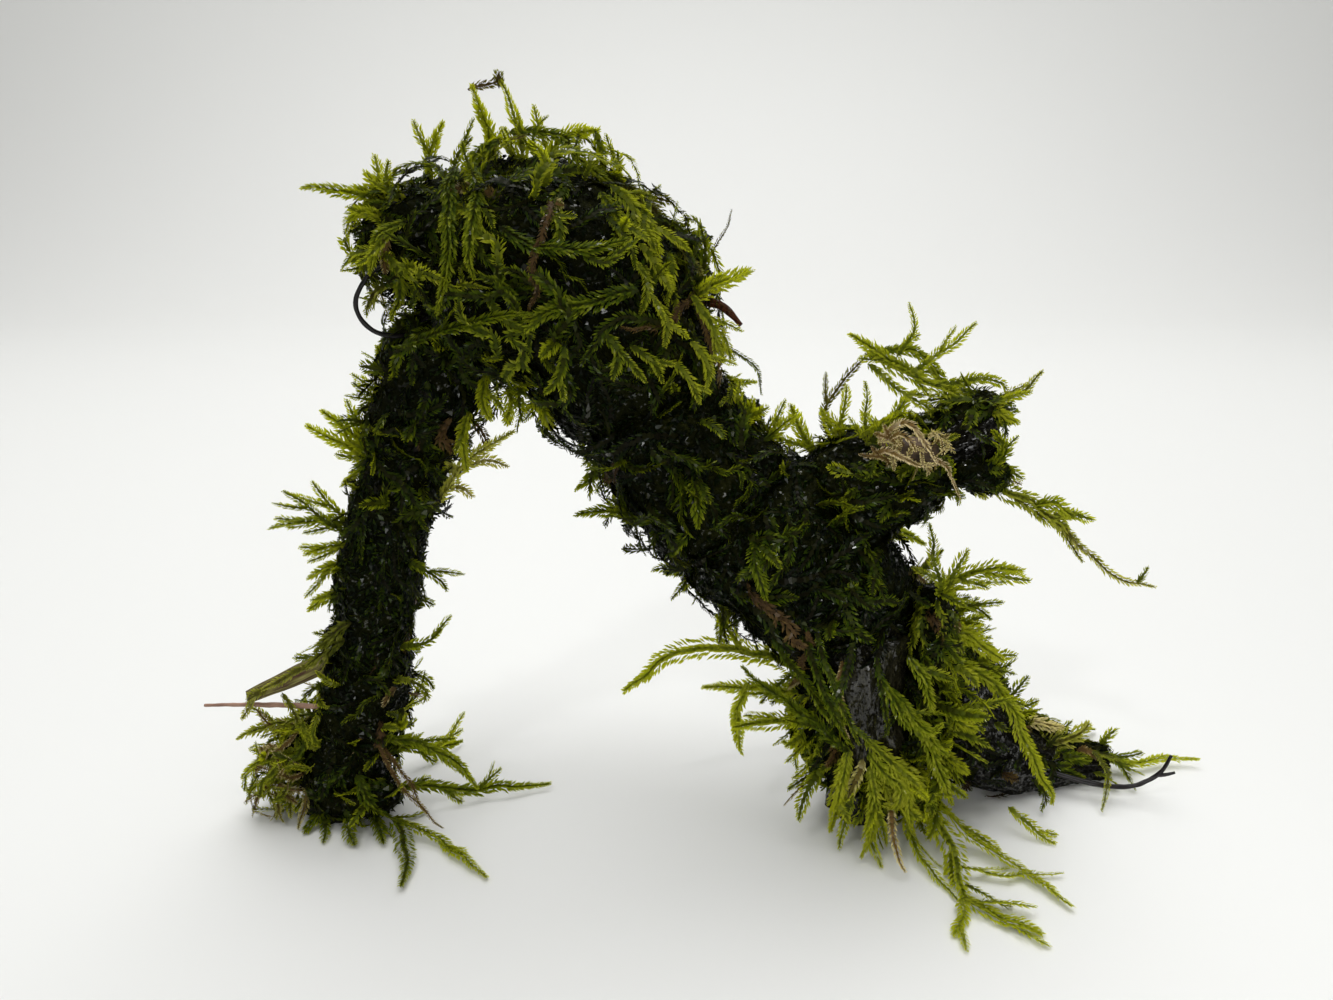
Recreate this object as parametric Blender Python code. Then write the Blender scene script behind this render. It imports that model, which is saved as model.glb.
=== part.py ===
"""Java moss on driftwood: an arched piece of driftwood on three feet, overgrown with clumps of java moss.

X runs along the arch, Y to the back and Z up, and the origin is on the ground under the middle of the piece.
The lists of places are in millimetres, each with the radius or width there as its last number. The built
objects are in metres.
"""

import math

import bmesh
import bpy
from mathutils import Matrix, Vector, noise

MM = 0.001
GAP = 0.3  # clear space between neighbouring pieces
GROUND = 0.0  # height that the feet stand on
MOSS_GROUND = 0.1  # the lowest that moss reaches, so that the feet carry the piece

WOOD_CORNERS = 11  # sides of a limb's section
WOOD_SPACING = 5.4  # between the sections of a limb
WOOD_RELIEF = 0.12  # ridges and hollows, as a share of the radius
PAD_CORNERS = 9
PAD_SPACING = 6.0
PAD_RELIEF = 0.12
SHOOT_CORNERS = 3  # a flat face and a keel behind it
SHOOT_SPACING = 5.2
SHOOT_THICKNESS = 0.4  # of its width
TUBE_CORNERS = 6
TUBE_SPACING = 3.6
LEAF_NOTCH = 0.6  # width between two rows of leaves, as a share of the width at a row
VIEW_SIDE = Vector((0.0, -0.8, 0.6))  # the side that most shoots turn their flat face to
UP = Vector((0.0, 0.0, 1.0))
BACK = Vector((0.0, 1.0, 0.0))

# The driftwood, from its thick arched trunk to its three feet and the stub of a branch.
TRUNK = [
    (-40, 4, 79.5, 5.2),
    (-35, 4.5, 81, 7.5),
    (-29, 5, 81.5, 8.6),
    (-22.5, 5, 79.5, 9.2),
    (-17, 4.5, 74, 9.2),
    (-12.5, 4, 66, 8.6),
    (-7.5, 3.5, 57.5, 8.2),
    (-1.5, 3, 49.5, 8.4),
    (5.5, 3, 42.5, 9.2),
    (13, 3, 36, 9.4),
    (19.5, 3, 28, 8),
]
LEFT_LEG = [
    (-58, 4, -2, 6.3),
    (-57, 4, 4.5, 6.0),
    (-54.5, 4, 12, 5.2),
    (-52.5, 4, 20.5, 4.9),
    (-51, 4, 28.5, 4.7),
    (-49.5, 4, 37, 4.6),
    (-47.5, 4, 45, 4.4),
    (-45, 4, 53, 4.3),
    (-42.5, 4, 61, 4.5),
    (-39, 4, 69, 4.8),
    (-34.5, 4.5, 77, 5.0),
]
BRANCH = [
    (10.5, 4, 44.5, 7.2),
    (17, 4, 48.5, 6.6),
    (23.5, 3.5, 52, 5.5),
    (28, 3, 55, 4.6),
    (32.5, 3, 57, 4.1),
    (35.5, 3, 58.5, 3.9),
]
FRONT_FOOT = [
    (19.5, 2, 29.5, 7),
    (20, 1, 20.5, 6),
    (20.5, 1, 12, 5.7),
    (21, 2, 5.5, 5.6),
    (21.5, 3, -2, 6),
]
REAR_FOOT = [
    (24, 5, 29, 6.5),
    (31, 7, 19, 7.4),
    (37.5, 8, 10, 7.8),
    (43.5, 9, 5, 6.2),
    (49.5, 9.5, 3, 4.4),
    (54.5, 10, 2, 3.0),
    (61.5, 11, 1, 1.9),
]
# Knots stand out from the wood: place, height and reach.
KNOTS = [
    (-52, -1, 3, 1.0, 3.0),
    (16.5, -4, 23, 1.2, 3.0),
    (25, -4, 14, 1.0, 3.0),
    (34, 1, 20, 1.4, 4.0),
    (43, 4, 9, 1.0, 3.0),
    (33, 0, 60, 0.8, 2.5),
]
LIMBS = {
    "driftwood_trunk": (TRUNK, []),
    "driftwood_left_leg": (LEFT_LEG, ["driftwood_trunk"]),
    "driftwood_branch": (BRANCH, ["driftwood_trunk"]),
    "driftwood_front_foot": (FRONT_FOOT, ["driftwood_trunk"]),
    "driftwood_rear_foot": (REAR_FOOT, ["driftwood_trunk", "driftwood_front_foot"]),
}

# The moss. Each clump has pads that hug the wood and shoots that stand out from it: name, then width and route.
CLUMPS = {
    "moss_crown": {
        "on": ["driftwood_trunk", "driftwood_left_leg"],
        "beside": [],
        "pads": [
            [
                (-45, 3, 84, 5.5),
                (-40.5, 3, 83, 8.5),
                (-35.5, 4, 82, 11),
                (-29.5, 4, 80.5, 13.8),
                (-23.5, 4, 79, 14.4),
                (-18, 4, 74.5, 14.2),
                (-14.5, 4, 68, 13),
                (-12.2, 4, 63.5, 11.6),
            ],
        ],
        "shoots": {
            "left_arm": (2.2, [(-41.5, 3, 87.5), (-45.5, 1, 89), (-49.5, 0, 89.5), (-53.5, -1, 89.5)]),
            "left_tuft": (2.4, [(-42.5, 2, 86), (-44.5, 1, 89), (-46, 1, 91.5)]),
            "left_low": (1.8, [(-44, 2, 80.5), (-46.5, 1, 81.5), (-49, 0, 81)]),
            "up_left": (2.2, [(-39, 4, 88), (-38.5, 4, 93), (-36.5, 4, 97.5)]),
            "peak": (2.6, [(-30, 4, 90), (-31, 4, 96), (-33, 4, 102)]),
            "peak_bar": (1.5, [(-33.5, 4, 101.5), (-31, 4, 102), (-29, 4, 102.5)]),
            "peak_tip": (1.6, [(-29.5, 4, 101.5), (-29.5, 4, 103.5)]),
            "peak_right": (2.0, [(-26, 3, 90), (-27.5, 3, 98.5), (-29, 4, 102.5)]),
            "right_arm": (2.4, [(-24, 3, 90), (-21.5, 2, 95.5), (-17, 1, 96.5)]),
            "right_drop": (1.8, [(-17.5, 1, 96.5), (-17, 2, 94.5), (-16.5, 3, 88)]),
            "shoulder": (2.2, [(-13, 2, 80), (-14, 2, 88.5), (-14.5, 2, 92.5)]),
            "bright": (2.8, [(-6.5, -2, 76), (-2, -3.5, 78.5), (1.5, -4, 80)]),
            "stem_high": (1.0, [(-12, 6, 79), (-4, 7, 80.5), (-1.5, 7, 84), (0, 7, 87.5)]),
            "stem_mid": (1.0, [(-4, 7, 80.5), (-5.5, 7, 83), (-6, 6, 85.5)]),
            "stem_low": (1.0, [(-5, 3, 70.5), (0, 3, 69.3), (3, 3, 67), (4.2, 3, 63.3)]),
            "runner": (1.0, [(-43, 2, 82), (-46.5, 1.5, 80), (-45.5, 1, 76.5), (-45, 1, 74)]),
            "under_hang": (2.4, [(-21, 1, 70), (-24.5, 1, 63), (-25, 1, 60)]),
            "back_high": (2.4, [(-30, 12, 86), (-33, 21, 92), (-36, 26, 95)]),
            "back_mid": (2.6, [(-18, 14, 80), (-15, 22, 83), (-11, 27, 82)]),
            "back_low": (2.2, [(-24, 14, 74), (-27, 21, 67), (-28, 24, 60)]),
        },
    },
    "moss_leg_upper": {
        "on": ["driftwood_left_leg", "driftwood_trunk"],
        "beside": ["moss_crown"],
        "pads": [
            [
                (-38, 4, 70, 7.6),
                (-40, 4, 66, 7.6),
                (-42.5, 4, 60.5, 7.0),
                (-44.5, 4, 54, 6.4),
                (-46, 4, 49, 6.2),
            ],
        ],
        "shoots": {
            "top_tuft": (2.2, [(-44.5, 4, 61.5), (-46, 3, 65.5), (-47, 3, 69.5)]),
            "mid_tuft": (1.8, [(-46, 4, 61), (-48, 3, 63), (-50.5, 3, 64.5)]),
            "fork_high": (2.4, [(-47, 4, 52.5), (-51, 3, 57), (-55, 2, 61.5)]),
            "fork_low": (2.4, [(-47.5, 4, 51.5), (-52, 2, 56.5), (-56.5, 1, 59.5)]),
            "fork_small": (1.8, [(-47.5, 4, 51), (-50.5, 3, 53), (-53.5, 3, 50.5)]),
            "inner": (2.6, [(-42.5, 3, 49.5), (-41.5, 3, 51.5), (-38.5, 3, 55)]),
            "bridge": (1.6, [(-43.5, 3, 49), (-38, 2, 51.5), (-34, 2, 55), (-28.5, 2, 58.5)]),
            "bridge_twig": (1.0, [(-35.5, 2, 54), (-32, 2, 54), (-29.5, 1, 53.5)]),
            "bridge_spur": (1.0, [(-38, 2, 51.5), (-35, 1, 51.5), (-33.5, 1, 50)]),
            "back": (2.4, [(-41, 8, 58), (-44, 15, 61), (-47, 19, 66)]),
        },
    },
    "moss_leg_lower": {
        "on": ["driftwood_left_leg"],
        "beside": ["moss_leg_upper"],
        "pads": [
            [
                (-47.2, 4, 45.5, 6.2),
                (-48.4, 4, 42, 6.4),
                (-50, 4, 36, 6.5),
                (-51, 4, 30, 6.4),
                (-51.8, 4, 24.5, 6.4),
            ],
        ],
        "shoots": {
            "out_long": (2.0, [(-51.5, 3, 44), (-56.5, 2, 46), (-63, 1, 45)]),
            "out_up": (1.8, [(-52, 3, 44.5), (-55.5, 3, 47.5), (-57.5, 3, 51)]),
            "out_curl": (1.6, [(-52.5, 2, 43.5), (-57, 1, 47.5), (-61, 1, 50.5)]),
            "out_mid": (2.0, [(-52, 3, 41.5), (-55.5, 2, 42), (-58.5, 1, 41.5)]),
            "out_low": (2.2, [(-52.5, 4, 38.5), (-56, 3, 38.5), (-59.5, 3, 37)]),
            "out_last": (2.0, [(-53, 3, 35), (-56.5, 2, 34.5), (-59.5, 2, 32.5)]),
            "chip": (1.4, [(-54, 3, 29), (-57, 2, 29), (-59, 2, 29)]),
            "twin": (1.6, [(-46, 1, 40.5), (-42.5, 1, 39), (-39.5, 1, 35.5)]),
            "curl": (1.8, [(-47, 1, 27), (-43.5, 1, 28), (-40.5, 1, 30)]),
            "back": (2.2, [(-49, 8, 36), (-51, 15, 38), (-54, 19, 37)]),
        },
    },
    "moss_left_foot": {
        "on": ["driftwood_left_leg"],
        "beside": ["moss_leg_lower"],
        "pads": [
            [(-53, 4, 19, 6.6), (-55, 4, 14, 7.0), (-57, 4, 9, 7.2), (-57.5, 4, 4, 7.6)],
            [(-58, 4, 16, 4.5), (-62, 3, 12.5, 5.0), (-65.5, 2, 8.5, 4.4), (-67.5, 2, 4.5, 3.0)],
            [(-60, 0, 4, 3.4), (-56.5, -1.5, 3.5, 3.6), (-52.5, -1.5, 3.5, 3.2), (-49.5, 0, 4.5, 2.6)],
        ],
        "shoots": {
            "edge_top": (2.0, [(-61, 3, 12.5), (-66.5, 2, 14), (-71.5, 1, 12.5)]),
            "edge_mid": (2.2, [(-63.5, 2, 10), (-68, 1, 8.5), (-70.5, 0, 8)]),
            "tangle_low": (1.8, [(-65, 2, 9), (-68, 1, 5.5), (-70, 2.5, 1)]),
            "tangle_mid": (1.6, [(-62.5, 1, 6.5), (-65, -1, 3.5), (-66.5, -2, 1)]),
            "paw_left": (2.4, [(-59, 0, 3), (-60, -3, 1.5), (-61, -5, 0.6)]),
            "paw_mid": (2.4, [(-55.5, -1, 3), (-54.5, -5, 1.2), (-53, -8, 0.6)]),
            "paw_right": (2.2, [(-52.5, -1, 3), (-50.5, -4, 1.2), (-49, -7.5, 0.6)]),
            "long_front": (3.0, [(-51.5, -1, 4), (-48.5, -3, 1.6), (-45, -9.5, 0.8), (-44.5, -17, 0.6)]),
            "long_side": (2.2, [(-48.5, -3, 1.4), (-41, -7.5, 0.8), (-33, -15, 0.6)]),
            "low_branch": (2.2, [(-51.5, -1, 4), (-46, 1.5, 4), (-37.5, 4, 1.8), (-27, 7, 0.8)]),
            "low_side": (1.5, [(-37.5, 4, 1.8), (-35.5, 4, 4), (-34, 4, 5.5)]),
            "high_branch": (2.0, [(-50.5, 1, 12.5), (-44, 1.5, 11), (-39.5, 2, 7), (-37.5, 2.5, 3)]),
            "high_side": (1.6, [(-43, 1.5, 10.5), (-41, 2.5, 11.8), (-39, 3, 13)]),
            "back_left": (2.2, [(-56, 9, 6), (-58, 15, 2.5), (-62, 21, 0.8)]),
            "back_right": (2.2, [(-53, 9, 6), (-47, 15, 2.5), (-43, 20, 0.8)]),
        },
    },
    "moss_trunk_upper": {
        "on": ["driftwood_trunk"],
        "beside": ["moss_crown"],
        "pads": [
            [(-10, 4, 60.5, 11), (-5.5, 3.5, 53, 11), (-0.5, 3, 48, 11.6)],
        ],
        "shoots": {
            "top_tuft": (2.4, [(0, 2, 58), (2.5, 0.5, 61), (3, 0, 63)]),
            "top_small": (2.0, [(3, 3, 55), (6, 2, 58.5), (8.5, 2, 60.5)]),
            "under_a": (2.0, [(-14, 4, 54), (-18, 3.5, 52.5), (-21, 3, 50)]),
            "under_arm": (2.6, [(-7, 2, 46), (-11.5, 1, 46.8), (-16, 1, 47.5), (-21, 1, 47)]),
            "face": (2.4, [(-5, -4.5, 55), (-5, -8.5, 52.5), (-5, -10.5, 49)]),
            "back_high": (2.4, [(-5, 11, 59), (0, 18, 62), (5, 24, 61)]),
            "back_low": (2.2, [(-7, 11, 54), (-9, 18, 51), (-11, 23, 46)]),
        },
    },
    "moss_trunk_lower": {
        "on": ["driftwood_trunk", "driftwood_branch", "driftwood_front_foot", "driftwood_rear_foot"],
        "beside": ["moss_trunk_upper"],
        "pads": [
            [(2, 3, 46, 12), (8.5, 3, 40.5, 12.6), (14, 3, 36, 12.2), (17, 3, 32.5, 11)],
        ],
        "shoots": {
            "under": (2.2, [(-2, 3, 41), (-6, 2, 39), (-9, 2, 38)]),
            "face": (2.2, [(3, -7, 47), (3, -10.5, 44), (4, -12, 40)]),
            "hook": (1.8, [(3, 1, 34), (-0.5, 0, 32.5), (-1, -1, 27.5)]),
            "back_high": (2.4, [(12, 13, 44), (10, 20, 40), (7, 24, 34)]),
            "back_low": (2.4, [(18, 12, 37), (26, 19, 38), (33, 23, 35)]),
        },
    },
    "moss_branch": {
        "on": ["driftwood_branch", "driftwood_trunk"],
        "beside": ["moss_trunk_upper", "moss_trunk_lower"],
        "pads": [
            [(15, 3.5, 48.5, 8.8), (19, 3.5, 50.5, 8.2), (23, 3, 52, 7.4), (27, 3, 54, 6.4)],
            [(26, 3.5, 57.5, 3.0), (30, 3, 60, 3.2), (35, 3, 61.5, 3.0)],
        ],
        "shoots": {
            "crest_left": (2.2, [(11.5, 4, 55), (9, 4, 59), (8, 3, 62)]),
            "crest_mid": (2.6, [(15.5, 4, 54.5), (14.5, 4, 58.5), (12, 4, 60.5)]),
            "arch_stem": (1.4, [(14.5, 5, 55), (13, 5, 60), (15, 5, 65), (18, 4, 68.5), (20, 4, 69)]),
            "arch_tip": (2.6, [(25, 3, 65.6), (20.5, 3.4, 68.6), (15.5, 3, 71.5)]),
            "arch_body": (3.2, [(18, 4, 69), (23, 3, 66.5), (28.5, 3, 64), (34, 2.5, 61)]),
            "arch_lower": (2.4, [(18, 3, 67.5), (22.5, 2, 64), (27, 2.5, 61), (29, 3, 60)]),
            "arch_upper": (2.6, [(20, 4, 69), (25, 5, 68.5), (29.5, 5, 64), (31, 4, 61.5)]),
            "spike": (1.4, [(22, 4, 68), (24, 4, 72), (23.5, 4, 75.5)]),
            "plume_a": (1.8, [(23.5, 3, 66), (28.5, 3, 69.5), (32, 3, 73)]),
            "plume_b": (2.0, [(27, 3, 64.3), (33, 3.5, 65.5), (37, 4, 64.5), (37.5, 4, 62.5)]),
            "plume_c": (1.6, [(33, 3, 62), (37.5, 2, 63.5), (41.5, 2, 66.5)]),
            "cap_tip": (2.0, [(32.5, 2.5, 61.5), (35.5, 1, 61.5), (38, 1, 60)]),
            "upright": (1.5, [(18.5, 1, 55.5), (18, 1, 60), (17.5, 1, 65.5)]),
            "back": (2.4, [(23, 8, 54), (25, 15, 57), (29, 20, 61)]),
        },
    },
    "moss_branch_end": {
        "on": ["driftwood_branch"],
        "beside": ["moss_branch"],
        "pads": [
            [(31, 1, 54, 2.6), (33.5, 0, 53.5, 2.6), (36, 0, 52.5, 2.0)],
        ],
        "shoots": {
            "shoulder": (2.2, [(33.5, 0, 54), (35.6, -2.2, 56.5), (34, -2.6, 59.5)]),
            "droop": (
                3.4,
                [(32, 1, 54.5), (37, 0, 51), (43, 0, 47.5), (47.5, 0, 43.5), (52.5, -1, 39), (59, -1, 37)],
            ),
            "droop_leaf": (2.4, [(41, 0, 48.5), (43.5, -1, 49.5), (46, -1, 47.5)]),
            "droop_spur": (1.2, [(56, -1, 37.6), (57, -1, 39), (57.5, -1, 40)]),
            "short": (2.0, [(31.5, 1.5, 54), (33, 2, 51), (35, 2, 49)]),
        },
    },
    "moss_foot_spray_left": {
        "on": ["driftwood_front_foot", "driftwood_trunk"],
        "beside": ["moss_trunk_lower"],
        "pads": [
            [(13.5, -0.5, 25, 4), (13, -1, 20, 4.4), (14, -1.5, 14, 4), (15.5, -2.5, 9, 3.4)],
        ],
        "shoots": {
            "arch": (3.2, [(14, 0, 22.5), (7.5, -1, 26), (-2.5, -2, 28.5), (-9, -2, 26.5), (-14.5, -2, 21.5)]),
            "arch_low": (2.4, [(14, -1, 21), (6, -2.4, 22.5), (-3.5, -3, 23)]),
            "drop": (2.0, [(3, -2.6, 23.6), (1, -3, 18.5), (2.5, -3, 12)]),
            "low_arm": (2.8, [(15, -1, 17), (9, -3.4, 17.8), (0.5, -5.2, 18)]),
            "low_arm_b": (2.2, [(15.5, -1.5, 13), (11.5, -3, 13), (7.5, -4, 15)]),
            "finger": (1.8, [(16.5, -2, 9.5), (12.5, -3, 9), (9, -3, 6.5)]),
            "down": (2.4, [(17, -2.5, 8.5), (16.5, -3.5, 4.5), (15.5, -4, 0.6)]),
        },
    },
    "moss_foot_spray_right": {
        "on": ["driftwood_front_foot", "driftwood_rear_foot", "driftwood_trunk", "driftwood_branch"],
        "beside": ["moss_trunk_lower", "moss_branch"],
        "pads": [
            [(28.6, -1, 36, 2.8), (28.6, -1, 29, 3.8), (28.4, -2, 21, 4), (27.4, -3.5, 14, 3.6)],
        ],
        "shoots": {
            "upright": (1.8, [(29, -2, 35), (27.5, -4, 41), (26, -4.5, 48)]),
            "arm_high": (2.8, [(28.5, -1.5, 35.5), (31.5, -1.5, 38.8), (35, -1.5, 40.2), (39.5, -2, 40)]),
            "arm_twig": (1.6, [(31.5, -1.5, 38.6), (32.5, -3.4, 38.6), (34.5, -5, 38.6)]),
            "arm_mid": (1.8, [(29, 0, 32), (32.5, 0, 34.5), (36.5, 0, 32)]),
            "arm_low": (2.6, [(29, -1, 29.5), (33.5, -1.5, 30), (38.5, -2, 26.5)]),
            "arc": (2.4, [(29, -2, 27), (34, -2.5, 25.5), (38.5, -3, 21.5), (42.5, -4, 14.5), (47.5, -3, 4)]),
            "side_a": (2.4, [(28.5, -3, 19.5), (32, -5, 19), (34.5, -6, 18)]),
            "side_b": (2.4, [(28, -4.5, 14.5), (31, -6.5, 13.5), (33, -7.5, 12)]),
            "back": (2.4, [(29, 0, 31), (32.5, 8, 32), (36, 16, 29), (39, 22.5, 24)]),
        },
    },
    "moss_foot_front": {
        "on": ["driftwood_front_foot", "driftwood_rear_foot"],
        "beside": ["moss_foot_spray_left", "moss_foot_spray_right"],
        "pads": [
            [(20.5, -4, 8.5, 3.4), (24, -5, 8.5, 4.0), (28, -4.5, 7, 3.4)],
        ],
        "shoots": {
            "main": (3.4, [(25.5, -5, 8.5), (29.5, -8, 4.5), (31, -13, 2), (30, -20, 1)]),
            "main_tip": (3.0, [(30, -19.5, 1), (33.5, -24, 0.8), (37.5, -27, 0.6)]),
            "main_left": (2.0, [(30, -19.5, 1), (29, -23, 0.8), (27.5, -26, 0.6)]),
            "loop": (1.6, [(25, -5, 7), (26.5, -12, 1.2), (29.5, -19.5, 0.8)]),
            "side_low": (1.4, [(31, -17, 1.2), (34.5, -20.5, 0.8), (36.5, -20, 0.6)]),
            "second": (2.8, [(28, -5, 7.5), (34, -8, 2.5), (39.5, -13.5, 0.9), (44, -21, 0.6)]),
            "side_mid": (1.4, [(30.5, -14, 1.6), (36, -15, 1.2), (45, -14, 0.6)]),
            "brown": (1.4, [(23, -5, 7.5), (24, -8.5, 1.5), (24, -13, 0.6)]),
            "short_right": (1.6, [(27.5, -5.5, 6), (33, -6, 3), (39, -5.5, 1.2), (46.5, -7.5, 0.6)]),
        },
    },
    "moss_rear_foot": {
        "on": ["driftwood_rear_foot"],
        "beside": ["moss_foot_spray_right"],
        "pads": [
            [(42, 14, 9, 3.4), (49, 14, 6, 3.2), (56, 13, 3.5, 2.8), (61, 11.5, 2.4, 2.6)],
        ],
        "shoots": {
            "blade": (3.0, [(47, 13, 7), (52, 10.5, 8.5), (57, 9, 10.5)]),
            "long_tip": (1.6, [(58, 11.5, 2.5), (65, 12, 1.6), (71.5, 13, 1.4), (77.5, 13, 1.4)]),
            "hook_a": (1.8, [(59.5, 11, 4.4), (61.5, 8.5, 4.2), (63.2, 7, 2.4), (64, 6, 0.6)]),
            "hook_b": (1.2, [(57.5, 12, 4.4), (58.5, 8, 5.2), (58.8, 4, 4.8), (57.5, 1.5, 2.8), (56.5, 0, 0.6)]),
            "back_near": (2.4, [(45, 15, 7), (46, 21, 3), (50, 27, 0.8)]),
            "back_far": (2.2, [(56, 14, 3.5), (60, 19, 2), (65, 24, 0.8)]),
        },
    },
    "dead_moss_tuft": {
        "on": [],
        "beside": ["moss_branch"],
        "pads": [
            [(20, -3, 57.5, 2.0), (23, -4, 57.5, 2.4), (26, -3.4, 56.4, 1.8)],
        ],
        "shoots": {
            "curl_right": (2.0, [(25, -4, 56.5), (27.5, -4.5, 55.5), (28.5, -4.5, 53.5)]),
            "curl_top": (1.8, [(24, -3.5, 58), (26, -3, 60), (27.5, -3, 60)]),
            "curl_left": (1.8, [(21, -3.5, 58), (19.5, -3, 60), (18.5, -3.2, 60.5)]),
            "curl_front": (1.8, [(23, -5, 57), (23.5, -7, 55.5), (24.5, -7.5, 53)]),
        },
    },
}

# Thin hard pieces caught in the moss: radius at each place.
ROOT_LOOP = [
    (-39, 0, 79, 0.35),
    (-41.5, -2, 80.6, 0.35),
    (-44, -4, 80.4, 0.35),
    (-46, -4.5, 78.5, 0.35),
    (-47.2, -4, 76.2, 0.35),
    (-46.8, -3.5, 74, 0.35),
    (-45.2, -3, 72.4, 0.35),
    (-43, -2, 71.8, 0.35),
    (-40, 1, 72, 0.35),
]
ROOT_TWIG = [
    (49, 6.5, 4, 0.6),
    (53.5, 5, 3.2, 0.6),
    (57.5, 4, 2.6, 0.55),
    (62, 3.5, 2.7, 0.5),
    (65, 3.5, 4, 0.45),
    (66.5, 3.5, 5.5, 0.45),
    (67.5, 3.5, 8, 0.25),
]
ROOT_TWIG_SPUR = [(65.5, 3.5, 4.6, 0.4), (66.8, 3.3, 4.8, 0.4), (68.2, 3, 5.4, 0.25)]
SPLINTER = [(-7, 2, 76, 0.7), (-2, 0.5, 75.5, 0.7), (0.8, -1, 73, 0.35)]
DRY_STALK = [(-58, 1, 17.6, 0.4), (-68, 2, 17.4, 0.35), (-77.5, 4, 16.2, 0.2)]
LEAF_STRIP_WIDTH = 3.2
LEAF_STRIP = [(-53, 3, 26.5), (-62, 2, 22.4), (-70, 2, 18.6)]


def clear_scene():
    for obj in list(bpy.data.objects):
        bpy.data.objects.remove(obj)


def make_material(name, colour, roughness):
    material = bpy.data.materials.new(name)
    material.use_nodes = True
    shader = material.node_tree.nodes["Principled BSDF"]
    shader.inputs["Base Color"].default_value = (*colour, 1.0)
    shader.inputs["Roughness"].default_value = roughness
    shader.inputs["Metallic"].default_value = 0.0
    material.diffuse_color = (*colour, 1.0)
    return material


def spline(points, spacing):
    """Points about the given spacing apart on a smooth curve through the given ones, sizes included."""
    points = [Vector(point) for point in points]
    ends = [points[0]] + points + [points[-1]]
    found = []
    for before, start, end, after in zip(ends, ends[1:], ends[2:], ends[3:]):
        steps = max(1, round((end.xyz - start.xyz).length / spacing))
        for step in range(steps):
            t = step / steps
            straight = (end - before) * t
            bend = (2 * before - 5 * start + 4 * end - after) * t**2
            twist = (3 * start - before - 3 * end + after) * t**3
            found.append((2 * start + straight + bend + twist) / 2)
    return found + [points[-1]]


def section_frames(route, facing):
    """For each place, the turn that lays a flat section across the route with its thin side to facing."""
    last = len(route) - 1
    frames = []
    for index in range(last + 1):
        ahead = (route[min(index + 1, last)] - route[max(index - 1, 0)]).xyz.normalized()
        across = ahead.cross(facing)
        if across.length < 0.2:
            across = ahead.cross(UP + BACK)
        across.normalize()
        frames.append(Matrix((across, ahead.cross(across), ahead)).transposed())
    return frames


def knot_height(place, outward):
    """How far the knots near a place on the bark push it outwards."""
    height = 0.0
    for *centre, rise, reach in KNOTS:
        height += rise * math.exp(-(((place + outward - Vector(centre)).length / reach) ** 2))
    return height


def sweep(route, corners, facing, flatness=1.0, relief=0.0, ridges=1.0, knots=False, clearance=0.0, ground=GROUND):
    """A mesh made by drawing a section along the route, in metres. Each point of the route has its radius.

    The clearance makes the same shape larger all round, for cutting room for it out of a neighbour.
    """
    bm = bmesh.new()
    bmesh.ops.create_circle(bm, cap_ends=True, segments=corners, radius=1.0)
    bm.faces.ensure_lookup_table()
    cap = bm.faces[0]
    section = [vertex.co.copy() for vertex in cap.verts]
    ends = {0: (route[0] - route[1]).xyz, len(route) - 1: (route[-1] - route[-2]).xyz}
    travelled = 0.0
    for index, (point, frame) in enumerate(zip(route, section_frames(route, facing))):
        if index:
            cap = bmesh.ops.extrude_discrete_faces(bm, faces=[cap])["faces"][0]
            travelled += (point - route[index - 1]).xyz.length
        further = ends[index].normalized() * clearance if index in ends else Vector()
        for corner, vertex in zip(section, cap.verts):
            swell = noise.noise(Vector((ridges * corner.x, ridges * corner.y, travelled / 9.0)) + route[0].xyz)
            flat = Vector((corner.x, corner.y * flatness, 0.0))
            outward = frame @ flat * point.w * (1.0 + relief * swell)
            if knots:
                outward += outward.normalized() * knot_height(point.xyz, outward)
            vertex.co = point.xyz + further + outward + outward.normalized() * clearance
    bmesh.ops.holes_fill(bm, edges=[edge for edge in bm.edges if edge.is_boundary], sides=0)
    bmesh.ops.recalc_face_normals(bm, faces=bm.faces)
    bmesh.ops.triangulate(bm, faces=bm.faces, quad_method="FIXED")
    cut_at_height(bm, ground - clearance)
    bmesh.ops.scale(bm, vec=(MM, MM, MM), verts=bm.verts)
    mesh = bpy.data.meshes.new("swept")
    bm.to_mesh(mesh)
    bm.free()
    return mesh


def cut_at_height(bm, height):
    """Cuts the shape off flat where it reaches below a height."""
    if min(vertex.co.z for vertex in bm.verts) > height:
        return
    everything = bm.verts[:] + bm.edges[:] + bm.faces[:]
    bmesh.ops.bisect_plane(
        bm, geom=everything, plane_co=(0, 0, height), plane_no=(0, 0, -1), clear_outer=True
    )
    bmesh.ops.holes_fill(bm, edges=[edge for edge in bm.edges if edge.is_boundary], sides=0)
    bmesh.ops.recalc_face_normals(bm, faces=bm.faces)


def domed(route):
    """The route with a smaller section past each end, which rounds the ends off."""
    first = (route[0] - route[1]).xyz.normalized() * route[0].w * 0.45
    last = (route[-1] - route[-2]).xyz.normalized() * route[-1].w * 0.45
    start = Vector((*(route[0].xyz + first), route[0].w * 0.6))
    end = Vector((*(route[-1].xyz + last), route[-1].w * 0.6))
    return [start] + route + [end]


def limb_mesh(places, clearance=0.0):
    route = spline(places, WOOD_SPACING)
    return sweep(route, WOOD_CORNERS, BACK, relief=WOOD_RELIEF, ridges=1.6, knots=True, clearance=clearance)


def pad_mesh(places, clearance=0.0):
    route = domed(spline(places, PAD_SPACING))
    return sweep(
        route, PAD_CORNERS, BACK, relief=PAD_RELIEF, ridges=2.4, clearance=clearance, ground=MOSS_GROUND
    )


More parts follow.
